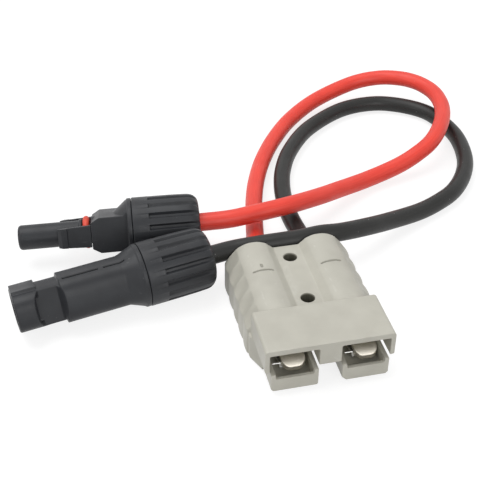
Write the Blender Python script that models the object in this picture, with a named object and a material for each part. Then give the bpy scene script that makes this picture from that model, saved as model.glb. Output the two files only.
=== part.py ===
"""Adapter lead: a two-pole battery connector whose red and black cables end in two solar connectors.

The lead lies on the plane z = 0. The grey housing's bottom centre is the origin, its mating face
looks along -Y and its cables leave along +Y. Sizes are named in millimetres, and every mesh is
turned into metres as it is made. A solar connector is drawn along its own X axis, with x = 0 at
the seam between its body and its gland nut and +X towards its mating end.
"""

import math

import bmesh
import bpy
from mathutils import Matrix, Vector

MM = 0.001
GAP = 0.3

# Grey two-pole housing
HOOD_WIDTH = 36.5
HOOD_TOP = 15.7
HOOD_THICK = 1.8
HOOD_FRONT = -23.7
HOOD_REAR = -6.6
HOUSING_FRONT = -24.4
HOUSING_REAR = 24.8
BULKHEAD = -8.6
MID_HEIGHT = 7.85
LIP_WIDTH = 1.3
LIP_BOTTOM = 8.0
KEY_WIDTH = 6.3
KEY_BOTTOM = 8.3
TRAY_INNER = 3.35
TRAY_OUTER = 16.6
TRAY_WALL = 1.3
TRAY_BOTTOM = 1.75
TRAY_FLOOR = 3.2
TRAY_TOP = 7.5
TRAY_LIP_TOP = 6.0
POLE_X = 10.35
BARREL_HEIGHT = 7.4
BARREL_RADIUS = 8.15
BARREL_BORE = 5.0
FLANK_OFFSET = 4.15
VALLEY_HEIGHT = 12.5
HOUSING_HALF_WIDTH = POLE_X + BARREL_RADIUS
SCREW_HOLE_RADIUS = 2.1
SCREW_HOLES_Y = (19.0, -0.6)
GRIP_COUNT = 5
GRIP_PITCH = 6.56
GRIP_START = 25.3
GRIP_CREST = 19.4
GRIP_NOTCH = 18.9
GRIP_BOTTOM = 0.3
GRIP_TOP = 9.0
GUSSET_END = -14.2
MARK_Y = 10.9
MARK_DEPTH = 0.3
MARK_WIDTH = 0.5
MARK_ANGLE = 23.0
MARK_UPRIGHT = (-0.6, 2.9)

# Contacts and leaf springs of the housing
TONGUE_HALF_WIDTH = 3.35
TONGUE_TOP = 7.9
TONGUE_THICK = 1.6
TONGUE_NOSE = -20.7
TONGUE_CORNER = 2.3
TONGUE_LEAN = 1.3
CRIMP_FRONT = 2.5
CRIMP_REAR = 16.0
CRIMP_RADIUS = 3.4
CRIMP_BORE = 2.2
CONTACT_PIVOT_Y = 16.5
LEAF_PIVOT_Y = -9.8
LEAF_PIVOT_Z = 3.7
LEAF_HALF_WIDTH = 2.6
LEAF_THICK = 0.4

# Cables
CABLE_RADIUS = 2.95
CORE_RADIUS = 1.8
CABLE_STEP = 5.0
JACKET_START_Y = 17.7
JACKET_START_X = -1.9

# Parts that both solar connectors share
FLANGE_RADIUS = 9.7
SPIGOT_ROOT = 7.0
SPIGOT_CREST = 7.6
SPIGOT_END = -9.5
THREAD_PITCH = 1.5
SEAL_POCKET = 5.9
SEAL_POCKET_FRONT = -3.2
CRIMP_POCKET = 3.75
NUT_LENGTH = 21.2
NUT_RADIUS = 9.8
NUT_FLUTES = 16
NUT_BORE = 7.95
NUT_CABLE_HOLE = 3.75
BODY_SIDES = 32

# Probe connector on the red cable
PROBE_TIP = 36.1
PROBE_RADIUS = 3.95
PROBE_BORE = 2.85
PROBE_COLLAR = 4.4
PROBE_BODY_FRONT = 13.0
PROBE_CORE_RADIUS = 5.0
PROBE_BODY_HALF_WIDTH = 6.45
PROBE_BODY_HALF_HEIGHT = 5.7
PROBE_NOSE_CUT = (2.6, 1.5)
RING_GROOVE = (13.3, 16.0)
RING_GROOVE_RADIUS = 3.55
RING_OUTER = 5.2
FINGER_INNER = 5.45
FINGER_OUTER = 6.45
FINGER_HOOK = 6.85
FINGER_TIP = 23.4
FINGER_ROOT_HALF_WIDTH = 3.6
FINGER_TIP_HALF_WIDTH = 3.0

# Shell connector on the black cable
SHELL_MOUTH = 38.75
SHELL_HALF_SIZE = (7.6, 7.1)
SHELL_BLOCK_HALF_SIZE = (8.0, 5.95)
SHELL_BLOCK_REAR = 31.5
SHELL_SQUARENESS = 3.0
SHELL_MOUTH_BORE = 4.9
SHELL_BORE = 4.15
SHELL_BORE_END = 17.7
SHELL_POCKET_END = 12.6
CHANNEL_OUTER = 6.65
CHANNEL_HALF_HEIGHT = 3.65
WINDOW_FLOOR = 4.7
WINDOW_RAMPS = ((23.4, 25.8), (31.4, 33.6))
STRIP_HALF_WIDTH = 3.9
STRIP_SLOT_FLOOR = 5.4
PLATE_TOP = 6.6
STRIP_SLOTS = ((4.9, 11.5), (13.0, 23.7))
STRIP_SLOT_WIDTH = 0.65
PIN_RADIUS = 2.0
PIN_TIP = 33.0

# Where the solar connectors lie: the centre of the nut's rear end, the centre of the mating end,
# and the roll about the axis in degrees
PROBE_PLACE = ((-23.05, 45.8, 10.2), (-79.65, 51.0, 9.3), 22.0)
SHELL_PLACE = ((-23.7, 26.5, 11.1), (-83.05, 16.9, 8.2), 22.0)

# Points that the cables pass through on their way from the solar connectors to the housing
RED_ROUTE = (
    (-13.1, 45.1, 10.50), (-4.8, 46.2, 10.60), (7.2, 48.3, 10.60), (19.4, 54.5, 8.20), (28.8, 60.6, 5.80),
    (42.5, 67.9, 3.80), (55.6, 72.2, 5.20), (64.8, 75.9, 7.60), (71.2, 80.6, 9.00), (77.7, 89.3, 9.60),
    (82.1, 98.2, 9.80), (84.1, 106.1, 10.00), (84.0, 113.8, 10.30), (81.1, 121.8, 10.30), (75.9, 128.1, 9.80),
    (67.6, 132.5, 8.80), (56.1, 132.8, 7.20), (39.3, 126.3, 4.90), (26.0, 115.7, 3.40), (16.2, 102.8, 3.00),
    (8.8, 89.7, 3.00), (3.4, 77.0, 3.00), (-0.5, 64.4, 3.00), (-3.5, 51.0, 3.10), (-5.9, 40.0, 3.60),
    (-8.9, 32.0, 4.10), (-9.9, 24.8, 6.05),
)
BLACK_ROUTE = (
    (-16.0, 28.2, 11.00), (-7.0, 28.2, 11.50), (5.3, 28.2, 11.75), (12.5, 29.1, 11.70), (19.5, 29.9, 10.90),
    (29.5, 33.7, 8.70), (39.7, 39.0, 5.80), (53.0, 45.3, 3.30), (62.5, 50.2, 3.00), (70.0, 55.6, 3.00),
    (77.1, 64.4, 3.00), (82.1, 74.7, 3.00), (85.0, 88.5, 3.00), (84.2, 100.6, 3.00), (80.8, 110.9, 3.00),
    (72.2, 118.6, 3.00), (61.5, 122.1, 3.00), (47.5, 119.4, 3.00), (31.3, 108.0, 3.00), (20.6, 94.3, 3.00),
    (14.3, 81.4, 3.00), (10.8, 68.7, 3.00), (9.2, 55.0, 3.10), (9.4, 42.0, 3.70), (10.1, 32.0, 4.50),
    (10.35, 24.8, 6.30),
)

GREY = (0.56, 0.55, 0.48)
BLACK_PLASTIC = (0.045, 0.047, 0.053)
SILVER = (0.80, 0.78, 0.72)
STEEL = (0.62, 0.62, 0.61)
COPPER = (0.72, 0.36, 0.20)
TIN = (0.70, 0.70, 0.70)
RED_JACKET = (0.83, 0.075, 0.05)
BLACK_JACKET = (0.035, 0.035, 0.033)
RUBBER = (0.03, 0.03, 0.03)
RED_RUBBER = (0.72, 0.06, 0.03)


def clear_scene():
    """Remove every object that the scene starts with."""
    for item in list(bpy.data.objects):
        bpy.data.objects.remove(item, do_unlink=True)


def object_from(bm, name, place=None):
    """Make a scene object in metres from a bmesh drawn in millimetres."""
    bmesh.ops.recalc_face_normals(bm, faces=bm.faces[:])
    if place is not None:
        bmesh.ops.transform(bm, matrix=place, verts=bm.verts[:])
    bmesh.ops.scale(bm, vec=(MM, MM, MM), verts=bm.verts[:])
    mesh = bpy.data.meshes.new(name)
    bm.to_mesh(mesh)
    bm.free()
    item = bpy.data.objects.new(name, mesh)
    bpy.context.scene.collection.objects.link(item)
    return item


def block(name, low, high, bevel=0.0):
    """A box between two corners, with its edges bevelled if asked."""
    bm = bmesh.new()
    bmesh.ops.create_cube(bm, size=1.0)
    size = Vector(high) - Vector(low)
    bmesh.ops.scale(bm, vec=size, verts=bm.verts[:])
    bmesh.ops.translate(bm, vec=(Vector(low) + Vector(high)) / 2, verts=bm.verts[:])
    if bevel:
        bmesh.ops.bevel(bm, geom=bm.edges[:], offset=bevel, segments=1, affect='EDGES')
    return object_from(bm, name)


def prism(name, outline, depth, end_bevel=0.0):
    """Extrude a closed outline by the vector depth, and round the far end's edges if asked."""
    bm = bmesh.new()
    face = bm.faces.new([bm.verts.new(point) for point in outline])
    grown = bmesh.ops.extrude_face_region(bm, geom=[face])["geom"]
    far = [item for item in grown if isinstance(item, bmesh.types.BMVert)]
    bmesh.ops.translate(bm, vec=depth, verts=far)
    if end_bevel:
        far_face = [item for item in grown if isinstance(item, bmesh.types.BMFace)]
        bmesh.ops.bevel(bm, geom=far_face[0].edges[:], offset=end_bevel, segments=2, affect='EDGES')
    return object_from(bm, name)


def turned(name, profile, sides=BODY_SIDES, place=None):
    """Spin a profile of (x, radius) points about X; it starts and ends on the axis, or closes."""
    bm = bmesh.new()
    corners = [bm.verts.new((x, radius, 0.0)) for x, radius in profile]
    on_axis = profile[0][1] == 0.0
    following = corners[1:] if on_axis else corners[1:] + corners[:1]
    edges = [bm.edges.new(pair) for pair in zip(corners, following)]
    bmesh.ops.spin(bm, geom=corners + edges, cent=(0, 0, 0), axis=(1, 0, 0),
                   angle=2 * math.pi, steps=sides, use_merge=True)
    bmesh.ops.remove_doubles(bm, verts=bm.verts[:], dist=1e-4)
    return object_from(bm, name, place)


def ring_body(name, rings):
    """Skin a closed loop of rings, each a list of points round the X axis."""
    bm = bmesh.new()
    loops = [[bm.verts.new(point) for point in ring] for ring in rings]
    for one, two in zip(loops, loops[1:] + loops[:1]):
        for i in range(len(one)):
            j = (i + 1) % len(one)
            bm.faces.new((one[i], one[j], two[j], two[i]))
    return object_from(bm, name)


def ring(x, radius, sides, shape=None):
    """Points round the X axis; shape(i, angle) is added to the radius of point i."""
    points = []
    for i in range(sides):
        angle = 2 * math.pi * i / sides
        reach = radius + (shape(i, angle) if shape else 0.0)
        points.append((x, reach * math.cos(angle), reach * math.sin(angle)))
    return points


def combine(target, others, operation):
    """Join, cut or intersect a body with others, which are used up."""
    for other in others:
        modifier = target.modifiers.new(operation.title(), 'BOOLEAN')
        modifier.operation = operation
        modifier.solver = 'EXACT'
        modifier.object = other
        graph = bpy.context.evaluated_depsgraph_get()
        target.data = bpy.data.meshes.new_from_object(target.evaluated_get(graph))
        target.modifiers.clear()
        bpy.data.objects.remove(other, do_unlink=True)
    return target


def finish(item, colour, roughness, metallic=0.0):
    """Shade a piece smooth with sharp edges, and give it its own material."""
    item.data.shade_smooth()
    item.data.set_sharp_from_angle(angle=math.radians(32))
    material = bpy.data.materials.new(item.name)
    material.use_nodes = True
    shader = material.node_tree.nodes["Principled BSDF"]
    shader.inputs["Base Color"].default_value = (*colour, 1.0)
    shader.inputs["Roughness"].default_value = roughness
    shader.inputs["Metallic"].default_value = metallic
    item.data.materials.clear()
    item.data.materials.append(material)
    return item


def move_origin(item, point):
    """Put a piece's origin on its joint's axis without moving the piece."""
    item.data.transform(Matrix.Translation(-Vector(point) * MM))
    item.location = Vector(point) * MM


def along_y(x, z):
    """Turn a shape drawn along X so that it runs along Y through (x, z)."""
    return Matrix.Translation((x, 0.0, z)) @ Matrix.Rotation(math.pi / 2, 4, 'Z')


def arc(centre, radius, start, end, count):
    """Points of a circle in a plane from one angle to another, in degrees."""
    points = []
    for i in range(count + 1):
        angle = math.radians(start + (end - start) * i / count)
        points.append((centre[0] + radius * math.cos(angle), centre[1] + radius * math.sin(angle)))
    return points


def cross_section(points, y):
    """Lift (x, z) points into the plane of constant y."""
    return [(x, y, z) for x, z in points]


# Grey housing


def rear_outline():
    """The rear block's section: flat below, two round barrels above, a flat flank down to the valley."""
    flank = 90.0 + math.degrees(math.asin(FLANK_OFFSET / BARREL_RADIUS))
    valley = math.sqrt(BARREL_RADIUS ** 2 - (VALLEY_HEIGHT - BARREL_HEIGHT) ** 2)
    right = [(HOUSING_HALF_WIDTH - 0.6, 0.0), (HOUSING_HALF_WIDTH, 0.6)]
    right += arc((POLE_X, BARREL_HEIGHT), BARREL_RADIUS, 0.0, flank, 14)
    right.append((POLE_X - valley, VALLEY_HEIGHT))
    left = [(-x, z) for x, z in reversed(right)]
    return right + left


def hood_outline():
    """The hood's section: a plate with a lip at each side and a key in the middle."""
    half, key = HOOD_WIDTH / 2, KEY_WIDTH / 2
    under = HOOD_TOP - HOOD_THICK
    right = [(key, KEY_BOTTOM), (key, under), (half - LIP_WIDTH, under), (half - LIP_WIDTH, LIP_BOTTOM)]
    right += [(half - 0.3, LIP_BOTTOM), (half, LIP_BOTTOM + 0.3)]
    right += arc((half - 1.0, HOOD_TOP - 1.0), 1.0, 0.0, 90.0, 3)
    return right + [(-x, z) for x, z in reversed(right)]


def tray(side):
    """One open-topped tray of the mating face, on the +X or the -X side."""
    middle = side * (TRAY_INNER + TRAY_OUTER) / 2
    half = (TRAY_OUTER - TRAY_INNER) / 2
    inside = half - TRAY_WALL
    low, top = TRAY_BOTTOM, TRAY_TOP
    chamfer = 1.2 if side > 0 else 0.5
    section = [(middle - half + chamfer, low), (middle + half - 0.5, low), (middle + half, low + 0.5)]
    section += [(middle + half, top), (middle - half, top), (middle - half, low + chamfer)]
    body = prism("tray", cross_section(section, HOUSING_FRONT), (0, HOOD_REAR - 0.4 - HOUSING_FRONT, 0))
    pocket = block("pocket", (middle - inside, HOUSING_FRONT + 1.15, TRAY_FLOOR),
                   (middle + inside, BULKHEAD, TRAY_TOP + 1.0))
    notch = block("notch", (middle - inside, HOUSING_FRONT - 1.0, TRAY_LIP_TOP),
                  (middle + inside, HOUSING_FRONT + 2.0, TRAY_TOP + 1.0))
    return combine(body, [pocket, notch], 'DIFFERENCE')


def scallop(y):
    """How far out the grip's outline stands at one place along the housing."""
    share = (GRIP_START - y) / GRIP_PITCH % 1.0
    return GRIP_NOTCH + (GRIP_CREST - GRIP_NOTCH) * 4 * share * (1 - share)


def grip(side):
    """The grip on one outer side: an upright scalloped wall with a narrow ledge on top."""
    front, rear = HOOD_REAR - 0.2, HOUSING_REAR - 0.2
    steps = [GRIP_START - GRIP_PITCH * step / 6 for step in range(6 * GRIP_COUNT)]
    along = [rear] + [y for y in steps if front < y < rear] + [front]
    inside = HOUSING_HALF_WIDTH - 0.8
    plan = [(inside, rear)] + [(scallop(y), y) for y in along] + [(inside, front)]
    return prism("grip", [(side * x, y, GRIP_BOTTOM) for x, y in plan], (0, 0, GRIP_TOP - GRIP_BOTTOM))


def gusset(side):
    """The wedge that takes the housing's side wall in to the tray's outer wall."""
    inside, low = TRAY_OUTER - 1.0, 0.3
    plan = [(GRIP_NOTCH, HOOD_REAR), (GRIP_NOTCH, BULKHEAD), (TRAY_OUTER, GUSSET_END)]
    plan += [(inside, GUSSET_END), (inside, HOOD_REAR)]
    return prism("gusset", [(side * x, y, low) for x, y in plan], (0, 0, TRAY_TOP - low))


def polarity_groove(pole):
    """A shallow groove across a barrel's top: the bar of its polarity mark."""
    inner, outer = BARREL_RADIUS - MARK_DEPTH, BARREL_RADIUS + 1.0
    centre = (pole, BARREL_HEIGHT)
    band = arc(centre, inner, 90 - MARK_ANGLE, 90 + MARK_ANGLE, 8)
    band += arc(centre, outer, 90 + MARK_ANGLE, 90 - MARK_ANGLE, 8)
    return prism("bar", cross_section(band, MARK_Y - MARK_WIDTH / 2), (0, MARK_WIDTH, 0))


def build_housing():
    """The one-piece grey housing."""
    rear_depth = HOUSING_REAR - BULKHEAD
    body = prism("housing", cross_section(rear_outline(), BULKHEAD), (0, rear_depth, 0), 0.3)
    hood_depth = HOOD_REAR - HOOD_FRONT
    hood = prism("hood", cross_section(hood_outline(), HOOD_FRONT), (0, hood_depth, 0), 0.3)
    bulkhead = block("bulkhead", (-HOOD_WIDTH / 2 + 0.4, BULKHEAD - 0.5, 0.3),
                     (HOOD_WIDTH / 2 - 0.4, HOOD_REAR - 0.2, HOOD_TOP - 0.9))
    sides = [make(side) for make in (tray, gusset, grip) for side in (1, -1)]
    combine(body, [hood, bulkhead] + sides, 'UNION')
    cuts = []
    for y in SCREW_HOLES_Y:
        upright = Matrix.Translation((0, y, 0)) @ Matrix.Rotation(-math.pi / 2, 4, 'Y')
        bore = [(-1.0, 0.0), (-1.0, SCREW_HOLE_RADIUS), (17.0, SCREW_HOLE_RADIUS), (17.0, 0.0)]
        cuts.append(turned("screw hole", bore, 20, upright))
    for pole in (-POLE_X, POLE_X):
        bore = [(0.5, 0.0), (0.5, BARREL_BORE), (30.0, BARREL_BORE), (30.0, 0.0)]
        cuts.append(turned("cable bore", bore, 24, along_y(pole, MID_HEIGHT)))
        cuts.append(block("passage", (pole - 4.0, BULKHEAD - 2.0, 4.6), (pole + 4.5, 1.5, 9.6)))
        cuts.append(polarity_groove(pole))
    half, floor = MARK_WIDTH / 2, BARREL_HEIGHT + BARREL_RADIUS - MARK_DEPTH - 0.02
    cuts.append(block("upright", (-POLE_X - half, MARK_Y + MARK_UPRIGHT[0], floor),
                      (-POLE_X + half, MARK_Y + MARK_UPRIGHT[1], HOOD_TOP + 1.0)))
    combine(body, cuts, 'DIFFERENCE')
    return finish(body, GREY, 0.45)


# Contacts and springs in the housing


def tongue_plan(pole):
    """The tongue seen from above: it leans to one side, and its blunt nose has round corners."""
    half, inset = TONGUE_HALF_WIDTH, TONGUE_HALF_WIDTH - TONGUE_CORNER
    nose_x, corner_y = pole + TONGUE_LEAN, TONGUE_NOSE + TONGUE_CORNER
    points = [(pole + half, 4.0)]
    points += arc((nose_x + inset, corner_y), TONGUE_CORNER, 0.0, -90.0, 5)
    points += arc((nose_x - inset, corner_y), TONGUE_CORNER, -90.0, -180.0, 5)
    points.append((pole - half, 4.0))
    return [(x, y, 0.0) for x, y in points]


def tongue_side(pole):
    """The tongue seen from the side, with its nose curved down."""
    top, thick = TONGUE_TOP, TONGUE_THICK
    upper = [(5.0, top), (-17.5, top), (-19.5, top - 0.2), (-21.0, top - 1.0)]
    lower = [(-21.0, top - 2.3), (-19.2, top - thick - 0.15), (-17.8, top - thick), (5.0, top - thick)]
    return [(pole - 5.0, y, z) for y, z in upper + lower]


def build_contact(name, pole):
    """A battery contact: a flat tongue and its crimp barrel."""
    body = prism(name, tongue_plan(pole), (0, 0, 12.0))
    combine(body, [prism("side", tongue_side(pole), (10.0, 0, 0))], 'INTERSECT')
    barrel = [(CRIMP_FRONT, 0.0), (CRIMP_FRONT, CRIMP_RADIUS - 0.5), (CRIMP_FRONT + 0.5, CRIMP_RADIUS)]
    barrel += [(CRIMP_REAR, CRIMP_RADIUS), (CRIMP_REAR, CRIMP_BORE)]
    barrel += [(CRIMP_FRONT + 2.5, CRIMP_BORE), (CRIMP_FRONT + 2.5, 0.0)]
    combine(body, [turned("barrel", barrel, 20, along_y(pole, MID_HEIGHT))], 'UNION')
    move_origin(body, (pole, CONTACT_PIVOT_Y, MID_HEIGHT))
    return finish(body, SILVER, 0.28, 1.0)


def build_leaf(name, pole):
    """The leaf spring that holds a tongue up, with the small tab at its side."""
    line = [(-9.45, 3.9), (-10.6, 3.9), (-17.3, 5.75), (-18.3, 5.75), (-19.2, 5.2)]
    upper = [(y, z) for y, z in line]
    lower = [(y, z - LEAF_THICK) for y, z in reversed(line)]
    outline = [(pole - LEAF_HALF_WIDTH, y, z) for y, z in upper + lower]
    body = prism(name, outline, (2 * LEAF_HALF_WIDTH, 0, 0))
    tab = block("tab", (pole - 4.4, -18.4, 5.15), (pole - 2.0, -17.6, 5.75))
    combine(body, [tab], 'UNION')
    move_origin(body, (pole, LEAF_PIVOT_Y, LEAF_PIVOT_Z))
    return finish(body, STEEL, 0.3, 1.0)


def build_housing_core(name, pole):
    """The stripped conductor end in a battery contact's crimp barrel."""
    start, end = CRIMP_FRONT + 2.9, JACKET_START_Y - 0.7
    profile = [(start, 0.0), (start, CORE_RADIUS), (end, CORE_RADIUS), (end, 0.0)]
    core = turned(name, profile, 14, along_y(pole, MID_HEIGHT))
    move_origin(core, (pole, CONTACT_PIVOT_Y, MID_HEIGHT))
    return finish(core, COPPER, 0.4, 1.0)


# Solar connectors


def spigot_rings():
    """Rings of the threaded spigot, from the flange to its rear end."""
    def thread(x):
        def ridge(i, angle):
            phase = (x / THREAD_PITCH - angle / (2 * math.pi)) % 1.0
            return (SPIGOT_CREST - SPIGOT_ROOT) * max(0.0, 1.0 - abs(phase - 0.5) * 3.0)
        return ridge

    rings = [ring(0.15, SPIGOT_ROOT, BODY_SIDES)]
    step = THREAD_PITCH / 3
    count = round((-0.5 - SPIGOT_END - 0.5) / step)
    for i in range(count + 1):
        x = -0.5 - i * step
        rings.append(ring(x, SPIGOT_ROOT, BODY_SIDES, thread(x)))
    rings.append(ring(SPIGOT_END, SPIGOT_ROOT - 0.3, BODY_SIDES))
    rings += [ring(SPIGOT_END, SEAL_POCKET, BODY_SIDES), ring(SEAL_POCKET_FRONT, SEAL_POCKET, BODY_SIDES)]
    rings.append(ring(SEAL_POCKET_FRONT, CRIMP_POCKET, BODY_SIDES))
    return rings


def round_rings(profile):
    """Plain rings from (x, radius) points."""
    return [ring(x, radius, BODY_SIDES) for x, radius in profile]


def squarish_ring(x, half_size):
    """A ring whose section is a square with large round corners."""
    def reach(i, angle):
        across, up = abs(math.cos(angle)) / half_size[0], abs(math.sin(angle)) / half_size[1]
        return (across ** SHELL_SQUARENESS + up ** SHELL_SQUARENESS) ** (-1 / SHELL_SQUARENESS)
    return ring(x, 0.0, BODY_SIDES, reach)


def build_probe_body():
    """The probe connector's body: probe, ring groove, flat-sided body, flange and spigot."""
    groove_rear, groove_front = RING_GROOVE
    outer = [(PROBE_TIP, PROBE_BORE), (PROBE_TIP, 3.3), (PROBE_TIP - 0.7, PROBE_RADIUS)]
    outer += [(groove_front + 1.0, PROBE_RADIUS), (groove_front + 0.9, PROBE_COLLAR)]
    outer += [(groove_front, PROBE_COLLAR), (groove_front, RING_GROOVE_RADIUS)]
    outer.append((groove_rear, RING_GROOVE_RADIUS))
    outer += [(PROBE_BODY_FRONT, PROBE_CORE_RADIUS), (1.5, PROBE_CORE_RADIUS)]
    outer += [(1.5, FLANGE_RADIUS - 0.2), (1.3, FLANGE_RADIUS), (0.15, FLANGE_RADIUS)]
    inner = [(11.5, CRIMP_POCKET), (11.5, PROBE_BORE)]
    body = ring_body("probe_body", round_rings(outer) + spigot_rings() + round_rings(inner))
    wide, tall = PROBE_BODY_HALF_WIDTH, PROBE_BODY_HALF_HEIGHT
    hollow, front = PROBE_CORE_RADIUS - 0.5, PROBE_BODY_FRONT
    slope = (front - PROBE_NOSE_CUT[0], tall), (front, tall - PROBE_NOSE_CUT[1])
    side = [(0.9, tall), *slope] + [(x, -z) for x, z in reversed(slope)] + [(0.9, -tall)]
    square = prism("square", [(x, -wide, z) for x, z in side], (0, 2 * wide, 0))
    bore = [(-1.0, 0.0), (-1.0, hollow), (15.0, hollow), (15.0, 0.0)]
    combine(square, [turned("bore", bore)], 'DIFFERENCE')
    cone = [(6.0, hollow), (6.0, tall), (1.9, 9.2), (0.9, 9.3), (0.9, hollow)]
    flare = turned("flare", cone)
    combine(flare, [block("flats", (0.0, -wide, -12.0), (8.0, wide, 12.0))], 'INTERSECT')
    combine(body, [square, flare], 'UNION')
    return finish(body, BLACK_PLASTIC, 0.5)


def build_finger(name, side):
    """A latch finger that flexes towards the probe, narrower at its hooked front end."""
    root = PROBE_BODY_FRONT + GAP
    points = [(root, FINGER_INNER), (FINGER_TIP, FINGER_INNER), (FINGER_TIP, FINGER_OUTER - 0.5)]
    points += [(FINGER_TIP - 1.2, FINGER_HOOK), (FINGER_TIP - 2.9, FINGER_HOOK)]
    points += [(FINGER_TIP - 3.1, FINGER_OUTER), (root, FINGER_OUTER)]
    low = -FINGER_ROOT_HALF_WIDTH
    body = prism(name, [(x, side * y, low) for x, y in points], (0, 0, -2 * low))
    plan = [(root - 1.0, FINGER_ROOT_HALF_WIDTH), (FINGER_TIP + 1.0, FINGER_TIP_HALF_WIDTH)]
    plan += [(x, -z) for x, z in reversed(plan)]
    combine(body, [prism("plan", [(x, -9.0, z) for x, z in plan], (0, 18.0, 0))], 'INTERSECT')
    move_origin(body, (root, side * (FINGER_INNER + FINGER_OUTER) / 2, 0.0))
    return finish(body, BLACK_PLASTIC, 0.5)


def build_probe_ring():
    """The red sealing ring in the probe's groove."""
    rear, front = RING_GROOVE[0] + GAP, RING_GROOVE[1] - GAP
    inner = RING_GROOVE_RADIUS + GAP
    profile = [(rear, inner + 0.2), (rear, RING_OUTER - 0.6), (rear + 0.35, RING_OUTER - 0.15)]
    profile += [((rear + front) / 2, RING_OUTER), (front - 0.35, RING_OUTER - 0.15)]
    profile += [(front, RING_OUTER - 0.6), (front, inner + 0.2)]
    profile += [(front - 0.2, inner), (rear + 0.2, inner)]
    return finish(turned("probe_seal_ring", profile, 28), RED_RUBBER, 0.55)


def build_socket_contact():
    """The tubular socket contact, slit at its front, with its crimp barrel."""
    profile = [(34.8, 2.05), (34.8, 2.3), (34.5, 2.5), (11.1, 2.5), (11.1, 3.4), (9.6, 3.4), (9.6, 2.9)]
    profile += [(-1.0, 2.9), (-1.0, 2.1), (9.0, 2.1), (9.0, 0.6), (14.0, 0.6), (14.0, 2.05)]
    body = turned("socket_contact", profile, 20)
    slits = [block("slit", (24.0, -4.0, -0.25), (36.0, 4.0, 0.25)),
             block("slit", (24.0, -0.25, -4.0), (36.0, 0.25, 4.0))]
    combine(body, slits, 'DIFFERENCE')
    return finish(body, TIN, 0.3, 1.0)


def build_pin_contact():
    """The pin contact with its shoulder and crimp barrel."""
    profile = [(PIN_TIP, 0.0), (PIN_TIP, 1.1), (PIN_TIP - 0.9, PIN_RADIUS - 0.15)]
    profile += [(PIN_TIP - 1.6, PIN_RADIUS), (12.3, PIN_RADIUS), (12.3, 3.4), (10.8, 3.4), (10.8, 2.9)]
    profile += [(-1.0, 2.9), (-1.0, 2.1), (9.0, 2.1), (9.0, 0.0)]
    return finish(turned("pin_contact", profile, 20), TIN, 0.3, 1.0)


def shell_cuts():
    """Cutters for the shell's finger channels, windows and the slots beside its strips."""
    cuts = []
    (rear_top, rear), (front, front_top) = WINDOW_RAMPS
    for side in (1, -1):
        low, high = sorted((side * WINDOW_FLOOR, side * CHANNEL_OUTER))
        cuts.append(block("channel", (front - 1.0, low, -CHANNEL_HALF_HEIGHT),
                          (SHELL_MOUTH + 1.0, high, CHANNEL_HALF_HEIGHT)))
        notch = [(rear, WINDOW_FLOOR), (front, WINDOW_FLOOR)]
        notch += [(front_top, SHELL_MOUTH_BORE + 4.0), (rear_top, SHELL_MOUTH_BORE + 4.0)]
        cuts.append(prism("window", [(x, side * y, -9.0) for x, y in notch], (0, 0, 18.0)))
        for start, end in STRIP_SLOTS:
            for face in (1, -1):
                inner, outer = sorted((side * STRIP_HALF_WIDTH, side * (STRIP_HALF_WIDTH + STRIP_SLOT_WIDTH)))
                floor, roof = sorted((face * STRIP_SLOT_FLOOR, face * 10.0))
                cuts.append(block("slot", (start, inner, floor), (end, outer, roof)))
    return cuts


def build_shell_body():
    """The shell connector's body: squarish shell, windows, slotted strips, flange and spigot."""
    wide, tall = SHELL_BLOCK_HALF_SIZE
    mouth = [ring(SHELL_MOUTH, SHELL_MOUTH_BORE, BODY_SIDES)]
    mouth.append(squarish_ring(SHELL_MOUTH, (wide - 0.5, tall - 0.5)))
    mouth += [squarish_ring(x, (wide, tall)) for x in (SHELL_MOUTH - 0.5, SHELL_BLOCK_REAR)]
    mouth.append(squarish_ring(SHELL_BLOCK_REAR - 2.2, (SHELL_HALF_SIZE[0], tall)))
    barrel = [squarish_ring(25.0, (SHELL_HALF_SIZE[0], tall))]
    barrel += [squarish_ring(24.8, SHELL_HALF_SIZE), squarish_ring(6.2, SHELL_HALF_SIZE)]
    flange = round_rings([(1.5, FLANGE_RADIUS - 0.3), (1.2, FLANGE_RADIUS), (0.15, FLANGE_RADIUS)])
    inner = [(SHELL_POCKET_END, CRIMP_POCKET), (SHELL_POCKET_END, PIN_RADIUS + 0.4)]
    inner += [(SHELL_BORE_END, PIN_RADIUS + 0.4), (SHELL_BORE_END, SHELL_BORE)]
    inner += [(SHELL_MOUTH - 1.7, SHELL_BORE), (SHELL_MOUTH - 1.7, SHELL_MOUTH_BORE)]
    body = ring_body("shell_body", mouth + barrel + flange + spigot_rings() + round_rings(inner))
    plate = block("plate", (SHELL_BLOCK_REAR, -3.9, 5.2), (SHELL_MOUTH - 0.15, 3.9, PLATE_TOP), 0.15)
    combine(body, [plate], 'UNION')
    combine(body, shell_cuts(), 'DIFFERENCE')
    return finish(body, BLACK_PLASTIC, 0.5)


def build_nut(name):
    """A gland nut: plain collar, fluted grip, round rear end with the cable's hole."""
    sides = NUT_FLUTES * 3

    def fluted(depth):
        return lambda i, angle: -depth if i % 3 == 2 else 0.0

    outer = [(-0.15, 9.5, 0.0), (-0.5, NUT_RADIUS, 0.0), (-5.2, NUT_RADIUS, 0.0), (-5.4, NUT_RADIUS, 0.75)]
    outer += [(-12.0, 9.75, 0.8), (-17.5, 9.6, 0.75), (-19.6, 9.1, 0.5), (-20.7, 8.2, 0.15)]
    outer.append((-NUT_LENGTH, 7.0, 0.0))
    inner = [(-NUT_LENGTH, NUT_CABLE_HOLE), (-18.6, NUT_CABLE_HOLE), (-18.1, 5.9), (-12.6, 7.1)]
    inner += [(-11.4, NUT_BORE), (-0.15, NUT_BORE)]
    rings = [ring(x, radius, sides, fluted(depth)) for x, radius, depth in outer]
    rings += [ring(x, radius, sides) for x, radius in inner]
    return finish(ring_body(name, rings), BLACK_PLASTIC, 0.45)


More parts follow.
